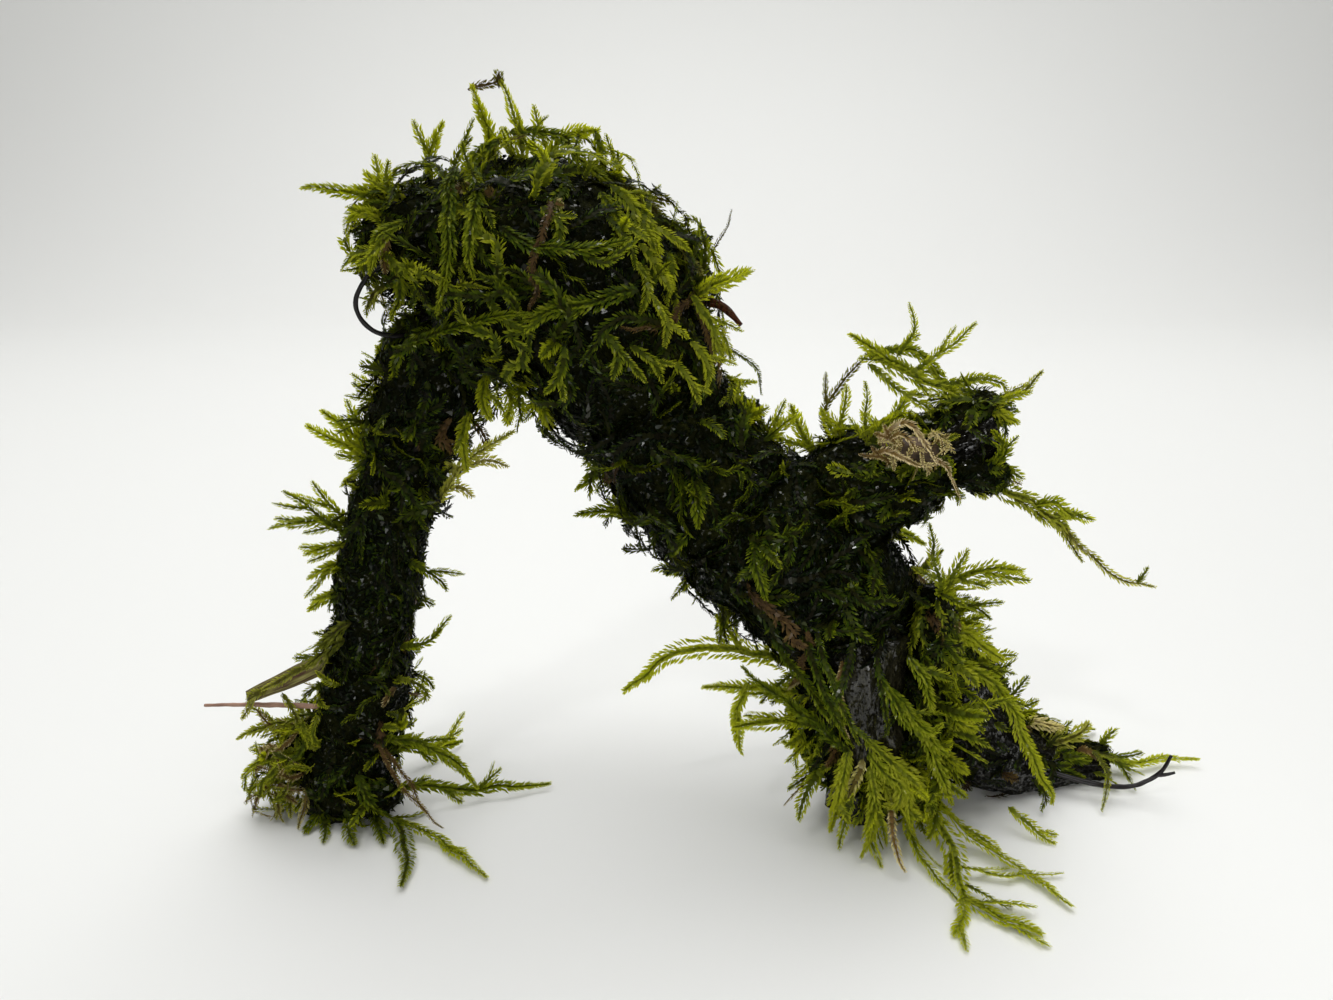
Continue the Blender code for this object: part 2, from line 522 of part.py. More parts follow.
def flat_side(route):
    """The direction that a shoot turns its flat face to: up where it lies flat, and otherwise to the front."""
    if max(point.z for point in route[len(route) // 2 :]) < 2.0:
        return UP
    along = (route[-1] - route[0]).xyz.normalized()
    facing = VIEW_SIDE - along * VIEW_SIDE.dot(along)
    if facing.length < 0.4:
        facing = UP - along * along.z
    return facing.normalized()


def shoot_mesh(width, places):
    """A leafy shoot as one flat tapering blade, notched between its rows of leaves."""
    half = width / 2
    thinnest = half * SHOOT_THICKNESS + MOSS_GROUND
    route = spline([(x, y, max(z, thinnest), half) for x, y, z in places], SHOOT_SPACING)
    last = len(route) - 1
    for index, point in enumerate(route):
        taper = 1.0 - 0.55 * (index / last) ** 2
        notch = LEAF_NOTCH if index % 2 and index < last else 1.0
        point.w *= taper * notch
    return sweep(route, SHOOT_CORNERS, flat_side(route), flatness=SHOOT_THICKNESS, ground=MOSS_GROUND)


def tube_mesh(places):
    return sweep(spline(places, TUBE_SPACING), TUBE_CORNERS, VIEW_SIDE, ground=MOSS_GROUND)


def add_object(name, mesh, material):
    obj = bpy.data.objects.new(name, mesh)
    bpy.context.scene.collection.objects.link(obj)
    mesh.shade_smooth()
    mesh.set_sharp_from_angle(angle=math.radians(40))
    mesh.materials.append(material)
    return obj


def add_guides(name, meshes):
    """A collection of shapes that only add to or cut another piece."""
    collection = bpy.data.collections.new(name)
    bpy.context.scene.collection.children.link(collection)
    for index, mesh in enumerate(meshes):
        guide = bpy.data.objects.new(f"{name}_{index}", mesh)
        guide.hide_render = True
        guide.display_type = "WIRE"
        collection.objects.link(guide)
    return collection


def combine(obj, operation, collection):
    modifier = obj.modifiers.new(f"{operation.title()} {collection.name}", "BOOLEAN")
    modifier.operation = operation
    modifier.operand_type = "COLLECTION"
    modifier.collection = collection
    modifier.solver = "EXACT"


def clearances(wood_names, clump_names):
    meshes = [limb_mesh(LIMBS[name][0], GAP) for name in wood_names]
    for name in clump_names:
        meshes += [pad_mesh(pad, GAP) for pad in CLUMPS[name]["pads"]]
    return meshes


def build_driftwood(material):
    for name, (places, neighbours) in LIMBS.items():
        limb = add_object(name, limb_mesh(places), material)
        if neighbours:
            combine(limb, "DIFFERENCE", add_guides(f"fit_{name}", clearances(neighbours, [])))


def build_clump(name, clump, material):
    first, *others = [pad_mesh(pad) for pad in clump["pads"]]
    shoots = [shoot_mesh(width, places) for width, places in clump["shoots"].values()]
    obj = add_object(name, first, material)
    combine(obj, "UNION", add_guides(f"grow_{name}", others + shoots))
    combine(obj, "DIFFERENCE", add_guides(f"fit_{name}", clearances(clump["on"], clump["beside"])))


def build_debris(root, bark, leaf):
    """The dark roots, the splinter, the dry stalk and the strip of dead leaf."""
    loop = add_object("root_loop", tube_mesh(ROOT_LOOP), root)
    combine(loop, "DIFFERENCE", add_guides("fit_root_loop", clearances([], ["moss_crown", "moss_leg_upper"])))
    twig = add_object("root_twig", tube_mesh(ROOT_TWIG), root)
    combine(twig, "UNION", add_guides("grow_root_twig", [tube_mesh(ROOT_TWIG_SPUR)]))
    twig_clear = clearances(["driftwood_rear_foot"], ["moss_rear_foot"])
    combine(twig, "DIFFERENCE", add_guides("fit_root_twig", twig_clear))
    splinter = add_object("bark_splinter", tube_mesh(SPLINTER), bark)
    combine(splinter, "DIFFERENCE", add_guides("fit_bark_splinter", clearances([], ["moss_crown"])))
    stalk = add_object("dry_stalk", tube_mesh(DRY_STALK), leaf)
    stalk_clear = clearances(["driftwood_left_leg"], ["moss_left_foot"])
    combine(stalk, "DIFFERENCE", add_guides("fit_dry_stalk", stalk_clear))
    strip = add_object("dead_leaf_strip", shoot_mesh(LEAF_STRIP_WIDTH, LEAF_STRIP), leaf)
    strip_clear = clearances(["driftwood_left_leg"], ["moss_left_foot", "moss_leg_lower"])
    combine(strip, "DIFFERENCE", add_guides("fit_dead_leaf_strip", strip_clear))


def build():
    clear_scene()
    wood = make_material("Wet driftwood", (0.035, 0.026, 0.02), 0.35)
    moss = make_material("Java moss", (0.07, 0.12, 0.018), 0.6)
    dead_moss = make_material("Dead moss", (0.42, 0.3, 0.14), 0.7)
    root = make_material("Black root", (0.012, 0.01, 0.012), 0.4)
    leaf = make_material("Dead leaf", (0.2, 0.13, 0.05), 0.6)
    build_driftwood(wood)
    for name, clump in CLUMPS.items():
        build_clump(name, clump, dead_moss if name == "dead_moss_tuft" else moss)
    build_debris(root, wood, leaf)


build()
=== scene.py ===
"""Dark arched driftwood on three feet, overgrown with java moss, on a pale floor in soft light."""

import math

import bmesh
import bpy
import numpy as np
from mathutils import Matrix, Vector, noise
from mathutils.bvhtree import BVHTree


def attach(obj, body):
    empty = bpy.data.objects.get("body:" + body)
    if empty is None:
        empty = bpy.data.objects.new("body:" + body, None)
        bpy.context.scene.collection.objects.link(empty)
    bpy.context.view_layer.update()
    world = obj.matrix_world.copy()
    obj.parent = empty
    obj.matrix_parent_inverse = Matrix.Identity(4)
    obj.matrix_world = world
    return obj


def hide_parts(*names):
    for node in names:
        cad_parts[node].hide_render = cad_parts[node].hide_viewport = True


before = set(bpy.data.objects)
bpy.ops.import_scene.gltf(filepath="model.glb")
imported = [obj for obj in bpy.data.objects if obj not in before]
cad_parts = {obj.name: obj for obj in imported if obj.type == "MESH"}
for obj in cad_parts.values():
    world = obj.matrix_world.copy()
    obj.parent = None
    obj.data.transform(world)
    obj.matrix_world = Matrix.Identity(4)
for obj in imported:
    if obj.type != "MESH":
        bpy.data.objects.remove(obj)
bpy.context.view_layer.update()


# The room: a camera that looks a little down on the piece from the front, a plain pale floor that runs far
# back, and soft light from above and behind, so that the tips of the leaves glow and the near side stays
# dark.
def lamp(name, place, towards, size, power, spread=180):
    light = bpy.data.objects.new(name, bpy.data.lights.new(name, "AREA"))
    light.data.size = size
    light.data.energy = power
    light.data.spread = math.radians(spread)
    light.location = place
    light.rotation_euler = (Vector(towards) - Vector(place)).to_track_quat("-Z", "Y").to_euler()
    bpy.context.scene.collection.objects.link(light)


camera = bpy.data.objects.new("camera", bpy.data.cameras.new("camera"))
camera.data.lens = 27
camera.data.sensor_width = 36
camera.data.clip_start = 0.001
camera.location = (-0.0087, -0.1295, 0.089)
camera.rotation_euler = (math.radians(73), 0, 0)
bpy.context.scene.collection.objects.link(camera)
bpy.context.scene.camera = camera
bpy.context.scene.view_settings.view_transform = "Standard"

lamp("top_softbox", (0, 0.22, 0.95), (0, 0.1, 0), 1.1, 10.9)
lamp("glint", (-0.18, -0.28, 0.42), (0, 0, 0.04), 0.03, 0.28)
lamp("low_light", (0.04, -0.22, 0.06), (0.025, 0, 0.008), 0.1, 0.022, spread=60)

# The floor runs back level and curves up into a wall. In metres.
FLOOR_HALF_WIDTH = 2.5
FLOOR_FRONT = -2.0
FLOOR_BACK = 0.55
CURVE = 0.3
WALL = 1.2


def of_kind(kind, parts):
    return [part for part in parts if isinstance(part, kind)]


def made(name, bm):
    """The mesh that a bmesh has come to."""
    mesh = bpy.data.meshes.new(name)
    bm.to_mesh(mesh)
    bm.free()
    return mesh


bm = bmesh.new()
ends = [(x, FLOOR_FRONT, 0) for x in (-FLOOR_HALF_WIDTH, FLOOR_HALF_WIDTH)]
front = [bmesh.ops.create_vert(bm, co=end)["vert"][0] for end in ends]
level = bmesh.ops.extrude_edge_only(bm, edges=[bm.edges.new(front)])["geom"]
bmesh.ops.translate(bm, vec=(0, FLOOR_BACK - FLOOR_FRONT, 0), verts=of_kind(bmesh.types.BMVert, level))
curve = bmesh.ops.spin(
    bm, geom=of_kind(bmesh.types.BMEdge, level), cent=(0, FLOOR_BACK, CURVE), axis=(1, 0, 0),
    angle=math.radians(90), steps=16, use_merge=False,
)["geom_last"]
wall = bmesh.ops.extrude_edge_only(bm, edges=of_kind(bmesh.types.BMEdge, curve))["geom"]
bmesh.ops.translate(bm, vec=(0, 0, WALL), verts=of_kind(bmesh.types.BMVert, wall))
floor_mesh = made("floor", bm)
floor_mesh.shade_smooth()
floor = bpy.data.objects.new("floor", floor_mesh)
bpy.context.scene.collection.objects.link(floor)
floor_paint = bpy.data.materials.new("pale_floor")
floor_paint.use_nodes = True
floor_paint.node_tree.nodes["Principled BSDF"].inputs["Base Color"].default_value = (0.8, 0.805, 0.79, 1)
floor_paint.node_tree.nodes["Principled BSDF"].inputs["Roughness"].default_value = 0.6
floor_mesh.materials.append(floor_paint)

world = bpy.data.worlds.new("pale_room")
world.use_nodes = True
world.node_tree.nodes["Background"].inputs["Color"].default_value = (1.0, 0.99, 0.95, 1)
world.node_tree.nodes["Background"].inputs["Strength"].default_value = 0.23
bpy.context.scene.world = world


# The driftwood: a thick arched trunk, a slim leg at its left, a stub of a branch and two feet at its right,
# all soaked nearly black, with a fine grain and a wet film. Each limb is drawn out ring by ring along its
# route: x, y, z and radius at each place, in millimetres.
MM = 0.001
UP = Vector((0, 0, 1))
BACK = Vector((0, 1, 0))
TRUNK = [
    (-40, 4, 79.5, 5.2), (-35, 4.5, 81, 7.5), (-29, 5, 81.5, 8.6), (-22.5, 5, 79.5, 9.2), (-17, 4.5, 74, 9.2),
    (-12.5, 4, 66, 8.6), (-7.5, 3.5, 57.5, 8.2), (-1.5, 3, 49.5, 8.4), (5.5, 3, 42.5, 9.2), (13, 3, 36, 9.4),
    (19.5, 3, 28, 8),
]
LEFT_LEG = [
    (-58, 4, -2, 6.3), (-57, 4, 4.5, 6), (-54.5, 4, 12, 5.2), (-52.5, 4, 20.5, 4.9), (-51, 4, 28.5, 4.7),
    (-49.5, 4, 37, 4.6), (-47.5, 4, 45, 4.4), (-45, 4, 53, 4.3), (-42.5, 4, 61, 4.5), (-39, 4, 69, 4.8),
    (-34.5, 4.5, 77, 5),
]
BRANCH = [
    (10.5, 4, 44.5, 7.2), (17, 4, 48.5, 6.6), (23.5, 3.5, 52, 5.5), (28, 3, 55, 4.6), (32.5, 3, 57, 4.1),
    (35.5, 3, 58.5, 3.9),
]
FRONT_FOOT = [(19.5, 2, 29.5, 7), (20, 1, 20.5, 6), (20.5, 1, 12, 5.7), (21, 2, 5.5, 5.6), (21.5, 3, -2, 6)]
REAR_FOOT = [
    (24, 5, 29, 6.5), (31, 7, 19, 7.4), (37.5, 8, 10, 7.8), (43.5, 9, 5, 6.2), (49.5, 9.5, 3, 4.4),
    (54.5, 10, 2, 3), (61.5, 11, 1, 1.9),
]
# Knots stand out from the wood: place, height and reach.
KNOTS = [
    (-52, -1, 3, 1, 3), (16.5, -4, 23, 1.2, 3), (25, -4, 14, 1, 3), (34, 1, 20, 1.4, 4), (43, 4, 9, 1, 3),
    (33, 0, 60, 0.8, 2.5),
]
RIDGE_HEIGHT = 0.55
CHECK_HEIGHT = 0.24
BARK_SINK = 0.5  # lowers the whole skin, so that its ridges end near the radius of the route
SWELL_LENGTH = 9.0  # from one swelling of a body to the next, along it


class Value:
    """A shader value. Sums and products of values add the nodes that work them out."""

    def __init__(self, socket):
        self.socket = socket

    def worked(self, operation, first, second):
        node = self.socket.id_data.nodes.new("ShaderNodeMath")
        node.operation = operation
        for end, value in zip(node.inputs, (first, second)):
            feed(end, value)
        return Value(node.outputs[0])

    def __add__(self, other):
        return self.worked("ADD", self, other)

    def __sub__(self, other):
        return self.worked("SUBTRACT", self, other)

    def __rsub__(self, other):
        return self.worked("SUBTRACT", other, self)

    def __mul__(self, other):
        return self.worked("MULTIPLY", self, other)

    __radd__ = __add__
    __rmul__ = __mul__


def feed(end, value):
    """Links a value to a socket, or sets the socket to a number, colour or vector."""
    if isinstance(value, Value):
        end.id_data.links.new(value.socket, end)
    elif hasattr(value, "__len__") and end.type == "RGBA":
        end.default_value = (*value, 1)
    else:
        end.default_value = value


class Finish:
    """A surface, built up from its shader by adding one node at a time."""

    def __init__(self, name):
        self.material = bpy.data.materials.new(name)
        self.material.use_nodes = True
        self.tree = self.material.node_tree
        self.shader = self.tree.nodes["Principled BSDF"]

    def node(self, kind, settings=(), sockets=(), output=0):
        node = self.tree.nodes.new("ShaderNode" + kind)
        for name, value in dict(settings).items():
            if name == "stops":
                ramp = node.color_ramp
                while len(ramp.elements) < len(value):
                    ramp.elements.new(0.5)
                for stop, (place, colour) in zip(ramp.elements, value):
                    stop.position = place
                    stop.color = (*colour, 1)
            else:
                setattr(node, name, value)
        for name, value in dict(sockets).items():
            feed(node.inputs[name], value)
        return Value(node.outputs[output])

    def ramp(self, factor, *stops):
        return self.node("ValToRGB", {"stops": stops}, {"Fac": factor})

    def noise(self, vector, scale, **sockets):
        return self.node("TexNoise", {}, {"Vector": vector, "Scale": scale, **sockets})

    def bump(self, height, strength, distance):
        return self.node("Bump", {}, {"Height": height, "Strength": strength, "Distance": distance})

    def grain(self, *stretch):
        """The place on a drawn-out body, across and along it, stretched along it."""
        along = self.node("Attribute", {"attribute_name": "grain"}, output=1)
        return self.node("Mapping", {}, {"Vector": along, "Scale": stretch}) if stretch else along

    def set(self, **values):
        for name, value in values.items():
            feed(self.shader.inputs[name.replace("_", " ")], value)


def smooth_route(points, spacing):
    """Points about the given spacing apart on a smooth curve through the given ones, sizes included."""
    points = [Vector(point) for point in points]
    ends = [points[0]] + points + [points[-1]]
    found = []
    for before, start, end, after in zip(ends, ends[1:], ends[2:], ends[3:]):
        steps = max(1, round((end.xyz - start.xyz).length / spacing))
        for step in range(steps):
            t = step / steps
            straight = (end - before) * t
            bend = (2 * before - 5 * start + 4 * end - after) * t**2
            twist = (3 * start - before - 3 * end + after) * t**3
            found.append((2 * start + straight + bend + twist) / 2)
    return found + [points[-1]]


def drawn_out(route, corners, relief, ridges, shaping, ground=0.0, facing=BACK, flatness=1.0):
    """A closed body drawn along a route, in metres. shaping gives the extra height at a place on its skin.

    Each vertex keeps its place across and along the limb, from which the grain of the bark is made.
    """
    bm = bmesh.new()
    grain = bm.verts.layers.float_vector.new("grain")
    bmesh.ops.create_circle(bm, cap_ends=True, segments=corners, radius=1.0)
    bm.faces.ensure_lookup_table()
    cap = bm.faces[0]
    section = [vertex.co.copy() for vertex in cap.verts]
    last = len(route) - 1
    travelled = 0.0
    for index, point in enumerate(route):
        ahead = (route[min(index + 1, last)] - route[max(index - 1, 0)]).xyz.normalized()
        across = ahead.cross(facing)
        if across.length < 0.2:
            across = ahead.cross(UP + BACK)
        across.normalize()
        turn = Matrix((across, ahead.cross(across), ahead)).transposed()
        if index:
            cap = bmesh.ops.extrude_discrete_faces(bm, faces=[cap])["faces"][0]
            travelled += (point - route[index - 1]).xyz.length
        for corner, vertex in zip(section, cap.verts):
            around = Vector((ridges * corner.x, ridges * corner.y, travelled / SWELL_LENGTH))
            swell = noise.noise(around + route[0].xyz)
            flat = Vector((corner.x, corner.y * flatness, 0.0))
            outward = turn @ flat * point.w * (1.0 + relief * swell)
            outward += outward.normalized() * shaping(point.xyz, outward, corner, travelled)
            vertex.co = point.xyz + outward
            vertex[grain] = (corner.x * point.w, corner.y * point.w, travelled)
    bmesh.ops.holes_fill(bm, edges=[edge for edge in bm.edges if edge.is_boundary], sides=0)
    bmesh.ops.recalc_face_normals(bm, faces=bm.faces)
    if min(vertex.co.z for vertex in bm.verts) < ground:
        everything = bm.verts[:] + bm.edges[:] + bm.faces[:]
        bmesh.ops.bisect_plane(
            bm, geom=everything, plane_co=(0, 0, ground), plane_no=(0, 0, -1), clear_outer=True
        )
        bmesh.ops.holes_fill(bm, edges=[edge for edge in bm.edges if edge.is_boundary], sides=0)
        bmesh.ops.recalc_face_normals(bm, faces=bm.faces)
    bmesh.ops.triangulate(bm, faces=[face for face in bm.faces if len(face.verts) > 4])
    bmesh.ops.scale(bm, vec=(MM, MM, MM), verts=bm.verts)
    mesh = made("drawn_out", bm)
    mesh.shade_smooth()
    return mesh


def bark_height(place, outward, corner, travelled):
    """Knots, long ridges of grain and fine cross checks of the bark, in millimetres."""
    knots = 0.0
    for *centre, rise, reach in KNOTS:
        knots += rise * math.exp(-(((place + outward - Vector(centre)).length / reach) ** 2))
    ridge = 1.0 - abs(noise.noise(Vector((4.5 * corner.x, 4.5 * corner.y, travelled / 6.0)))) * 2.6
    fine = noise.noise(Vector((11 * corner.x, 11 * corner.y, travelled / 1.8)))
    return knots + RIDGE_HEIGHT * ridge + CHECK_HEIGHT * fine - BARK_SINK


def set_in_place(name, mesh, *materials):
    """A finished piece, part of the object's one body."""
    for material in materials:
        mesh.materials.append(material)
    piece = bpy.data.objects.new(name, mesh)
    bpy.context.scene.collection.objects.link(piece)
    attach(piece, "root")
    return piece


BLACK_BARK = [(0.003, 0.003, 0.001), (0.009, 0.008, 0.004), (0.035, 0.032, 0.014), (0.15, 0.14, 0.085)]


def bark(name, tone_lift, wetness, colours=BLACK_BARK):
    """Bark with its grain along the limb and a broken film of water over it."""
    finish = Finish(name)
    along_limb = finish.grain()
    stretched = finish.node("Mapping", {}, {"Vector": along_limb, "Scale": (1.3, 1.3, 0.4)})
    streaks = finish.noise(stretched, 1.0, Detail=5.0, Roughness=0.65, Distortion=2.2)
    blotches = finish.noise(along_limb, 0.22, Detail=3.0)
    pores = finish.noise(along_limb, 2.2, Detail=3.0)
    # The tone lift lightens the whole bark; where it is raised, as on the front foot, the lightening is
    # painted light.
    stops = zip((0.3, 0.46, 0.58, 0.72), colours)
    film = finish.ramp(pores * 0.6 + streaks * 0.4, (wetness, (0, 0, 0)), (wetness + 0.05, (1, 1, 1)))
    finish.set(
        Base_Color=finish.ramp(streaks * 0.6 + blotches * 0.4 + tone_lift, *stops),
        Roughness=0.55 - 0.2 * blotches,
        Specular_IOR_Level=0.06,
        Coat_Weight=film,
        Coat_Roughness=0.07,
        Normal=finish.bump(streaks + pores, 1.0, 0.0022),
    )
    return finish.material


# The front foot's bark is painted a lighter grey than the rest: painted light and painted reflection for the
# brighter light that falls on it. The rest of the wood is soaked black.
soaked_bark = bark("soaked_black_bark", -0.08, 0.5)
painted_light_grey_bark = bark("grey_bark_painted_light", 0.03, 0.44)
LIMBS = {
    "driftwood_trunk": (TRUNK, soaked_bark),
    "driftwood_left_leg": (LEFT_LEG, soaked_bark),
    "driftwood_branch": (BRANCH, soaked_bark),
    "driftwood_front_foot": (FRONT_FOOT, painted_light_grey_bark),
    "driftwood_rear_foot": (REAR_FOOT, soaked_bark),
}
for name, (places, finish) in LIMBS.items():
    body = drawn_out(smooth_route(places, 0.7), corners=60, relief=0.12, ridges=1.6, shaping=bark_height)
    limb = set_in_place(name + "_bark", body, finish)
    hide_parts(name)


# The crown: the thickest clump, over the top of the arch. A dark mat of old wet leaves wraps the wood, flat
# leafy fronds thatch it in every direction, and long bright shoots stand out at its edge. A frond is a stem
# with two rows of small pointed leaves, and every leaf is one folded, closed sliver.
LEAF_PITCH = 0.29  # from leaf to leaf along one side of a stem, in millimetres as all lengths here
LEAF_LEAN = 38  # degrees between a leaf and its stem
UPPER_LEAN = 18  # the same for the leaves that stand up from the middle of a broad shoot
LONGEST_LEAF = 1.2
STEM_PITCH = 0.9
STEM_LAP = 2.1  # the length of a piece of stem, as a share of the pitch
STEM_TIP = 0.35  # its width at the tip, as a share of that at the root
RIBBON = 0.5  # the flat green body of a stem, as a share of the width of the frond
MAT_SINK = 0.9  # how far the mat lies under the tips of the thatch
LOWEST = 0.08  # the lowest that a leaf reaches over the floor
LYING = 0.45  # the height of a long shoot's stem where it lies on the floor
TOP = 103.5  # the height of the whole piece
DEAD = 0.85  # how dead a dead frond is, from 0 to 1
THATCH_GAP = -0.32  # the value of the noise under which the thatch leaves the mat bare
DROOP = 0.025  # how much a tuft turns down at each step
SWAY = 0.6  # how far a long shoot sways off its route
TWIG_WIDTH = 0.7  # a side branch, as a share of the width of its shoot
FRONT_AND_UP = (0, -0.8, 0.6)  # the way that the flat faces of hanging shoots turn


def unit(vectors):
    return vectors / np.maximum(np.linalg.norm(vectors, axis=-1, keepdims=True), 1e-9)


def between(wanted, known, values):
    """The values at the wanted distances along a route, from those at the known ones."""
    return np.stack([np.interp(wanted, known, values[:, axis]) for axis in range(3)], 1)


def laid(heading, normal):
    """A heading turned to lie flat on a skin."""
    return (heading - normal * heading.dot(normal)).normalized()


def leaf_pattern():
    """The four corners of a leaf, as shares of its length, width and fold, and its four faces."""
    bm = bmesh.new()
    bmesh.ops.create_cone(bm, cap_ends=True, segments=3, radius1=1, radius2=0, depth=1)
    for vertex, corner in zip(bm.verts, [(0, 0, 0), (0.52, 0.5, 1), (0.52, -0.5, 1), (1, 0, 0)]):
        vertex.co = corner
    bmesh.ops.recalc_face_normals(bm, faces=bm.faces)
    corners = np.array([vertex.co for vertex in bm.verts])
    faces = np.array([[vertex.index for vertex in face.verts] for face in bm.faces])
    bm.free()
    return corners, faces


LEAF_CORNERS, LEAF_FACES = leaf_pattern()


def joined(meshes, scale=1.0):
    """The given meshes as one bmesh."""
    bm = bmesh.new()
    for mesh in meshes:
        bm.from_mesh(mesh)
    if scale != 1.0:
        bmesh.ops.scale(bm, vec=(scale, scale, scale), verts=bm.verts)
    return bm


neighbours = {}
for name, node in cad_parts.items():
    if name.startswith(("moss", "driftwood")):
        bm = joined([node.data], 1 / MM)
        neighbours[name] = BVHTree.FromBMesh(bm)
        bm.free()


def covered(place, normal, own):
    """Whether a solid other than the clump's own closes over a place.

    Looking out from inside a solid, the first face is seen from behind.
    """
    for name, tree in neighbours.items():
        if name == own:
            continue
        hit, out, _, distance = tree.ray_cast(place, normal)
        if hit and distance > 0.3 and out.dot(normal) > 0:
            return True
    return False


def mat_height(place, outward, corner, travelled):
    """Lumps of the mat and the fine roughness of matted leaves, in millimetres."""
    here = place + outward
    return 1.1 * noise.noise(here * 0.22) + 0.55 * noise.noise(here * 0.6) + 0.3 * noise.noise(here * 1.6)


def beyond(end, inner):
    """One more place past the end of a pad, narrower than the end, so that the pad closes round."""
    past = end.xyz + (end - inner).xyz.normalized() * end.w * 0.45
    return Vector((*past, end.w * 0.6))


class Mat:
    """The matted old moss of a clump: its bodies, and a skin on which fronds start and lie."""

    def __init__(self, node, pads, sink=MAT_SINK):
        self.node = node
        self.meshes = []
        for pad in pads:
            route = smooth_route([(x, y, z, size - sink) for x, y, z, size in pad], 1.3)
            route = [beyond(route[0], route[1])] + route + [beyond(route[-1], route[-2])]
            corners = max(10, round(max(point.w for point in route) * 2.6))
            body = drawn_out(route, corners, relief=0.12, ridges=2.4, shaping=mat_height, ground=LOWEST)
            self.meshes.append(body)
        bm = joined(self.meshes, 1 / MM)
        bmesh.ops.triangulate(bm, faces=bm.faces)
        self.skin = BVHTree.FromBMesh(bm)
        self.corners = np.array([[vertex.co for vertex in face.verts] for face in bm.faces])
        bm.free()
        sides = np.cross(self.corners[:, 1] - self.corners[:, 0], self.corners[:, 2] - self.corners[:, 0])
        areas = np.linalg.norm(sides, axis=1)
        self.normals = unit(sides)
        self.area = areas.sum() / 2
        self.reached = np.cumsum(areas) / areas.sum()

    def places(self, number, chance):
        """Random places on the skin that neither another body of this mat nor a neighbour covers."""
        found = []
        for _ in range(round(number)):
            face = min(int(np.searchsorted(self.reached, chance.random())), len(self.corners) - 1)
            a, b = np.sqrt(chance.random()), chance.random()
            share = np.array([1 - a, a * (1 - b), a * b])
            place = Vector(share @ self.corners[face])
            normal = Vector(self.normals[face])
            if place.z > 0.6 and not covered(place + normal * 0.4, normal, self.node):
                found.append((place, normal))
        return found

    def walk(self, place, heading, length, rise, wander, chance):
        """A route of that length over the skin, as high over it as rise gives for each share of the way."""
        route = []
        outs = []
        steps = max(3, round(length))
        for step in range(steps + 1):
            near, normal, _, _ = self.skin.find_nearest(place)
            route.append(near + normal * rise(step / steps))
            outs.append(normal)
            heading = laid(heading + Vector(chance.normal(0, wander, 3)), normal)
            place = near + heading * (length / steps)
        return np.array(route), np.array(outs)


def shoot_facing(route):
    """The way a shoot turns its flat face: up where it lies on the floor, and otherwise to the front."""
    if route[len(route) // 2 :, 2].max() < 2:
        return np.array(UP)
    front = np.array(FRONT_AND_UP)
    along = unit(route[-1] - route[0])
    facing = front - along * front.dot(along)
    if np.linalg.norm(facing) < 0.4:
        facing = np.array(UP) - along * along[2]
    return unit(facing)


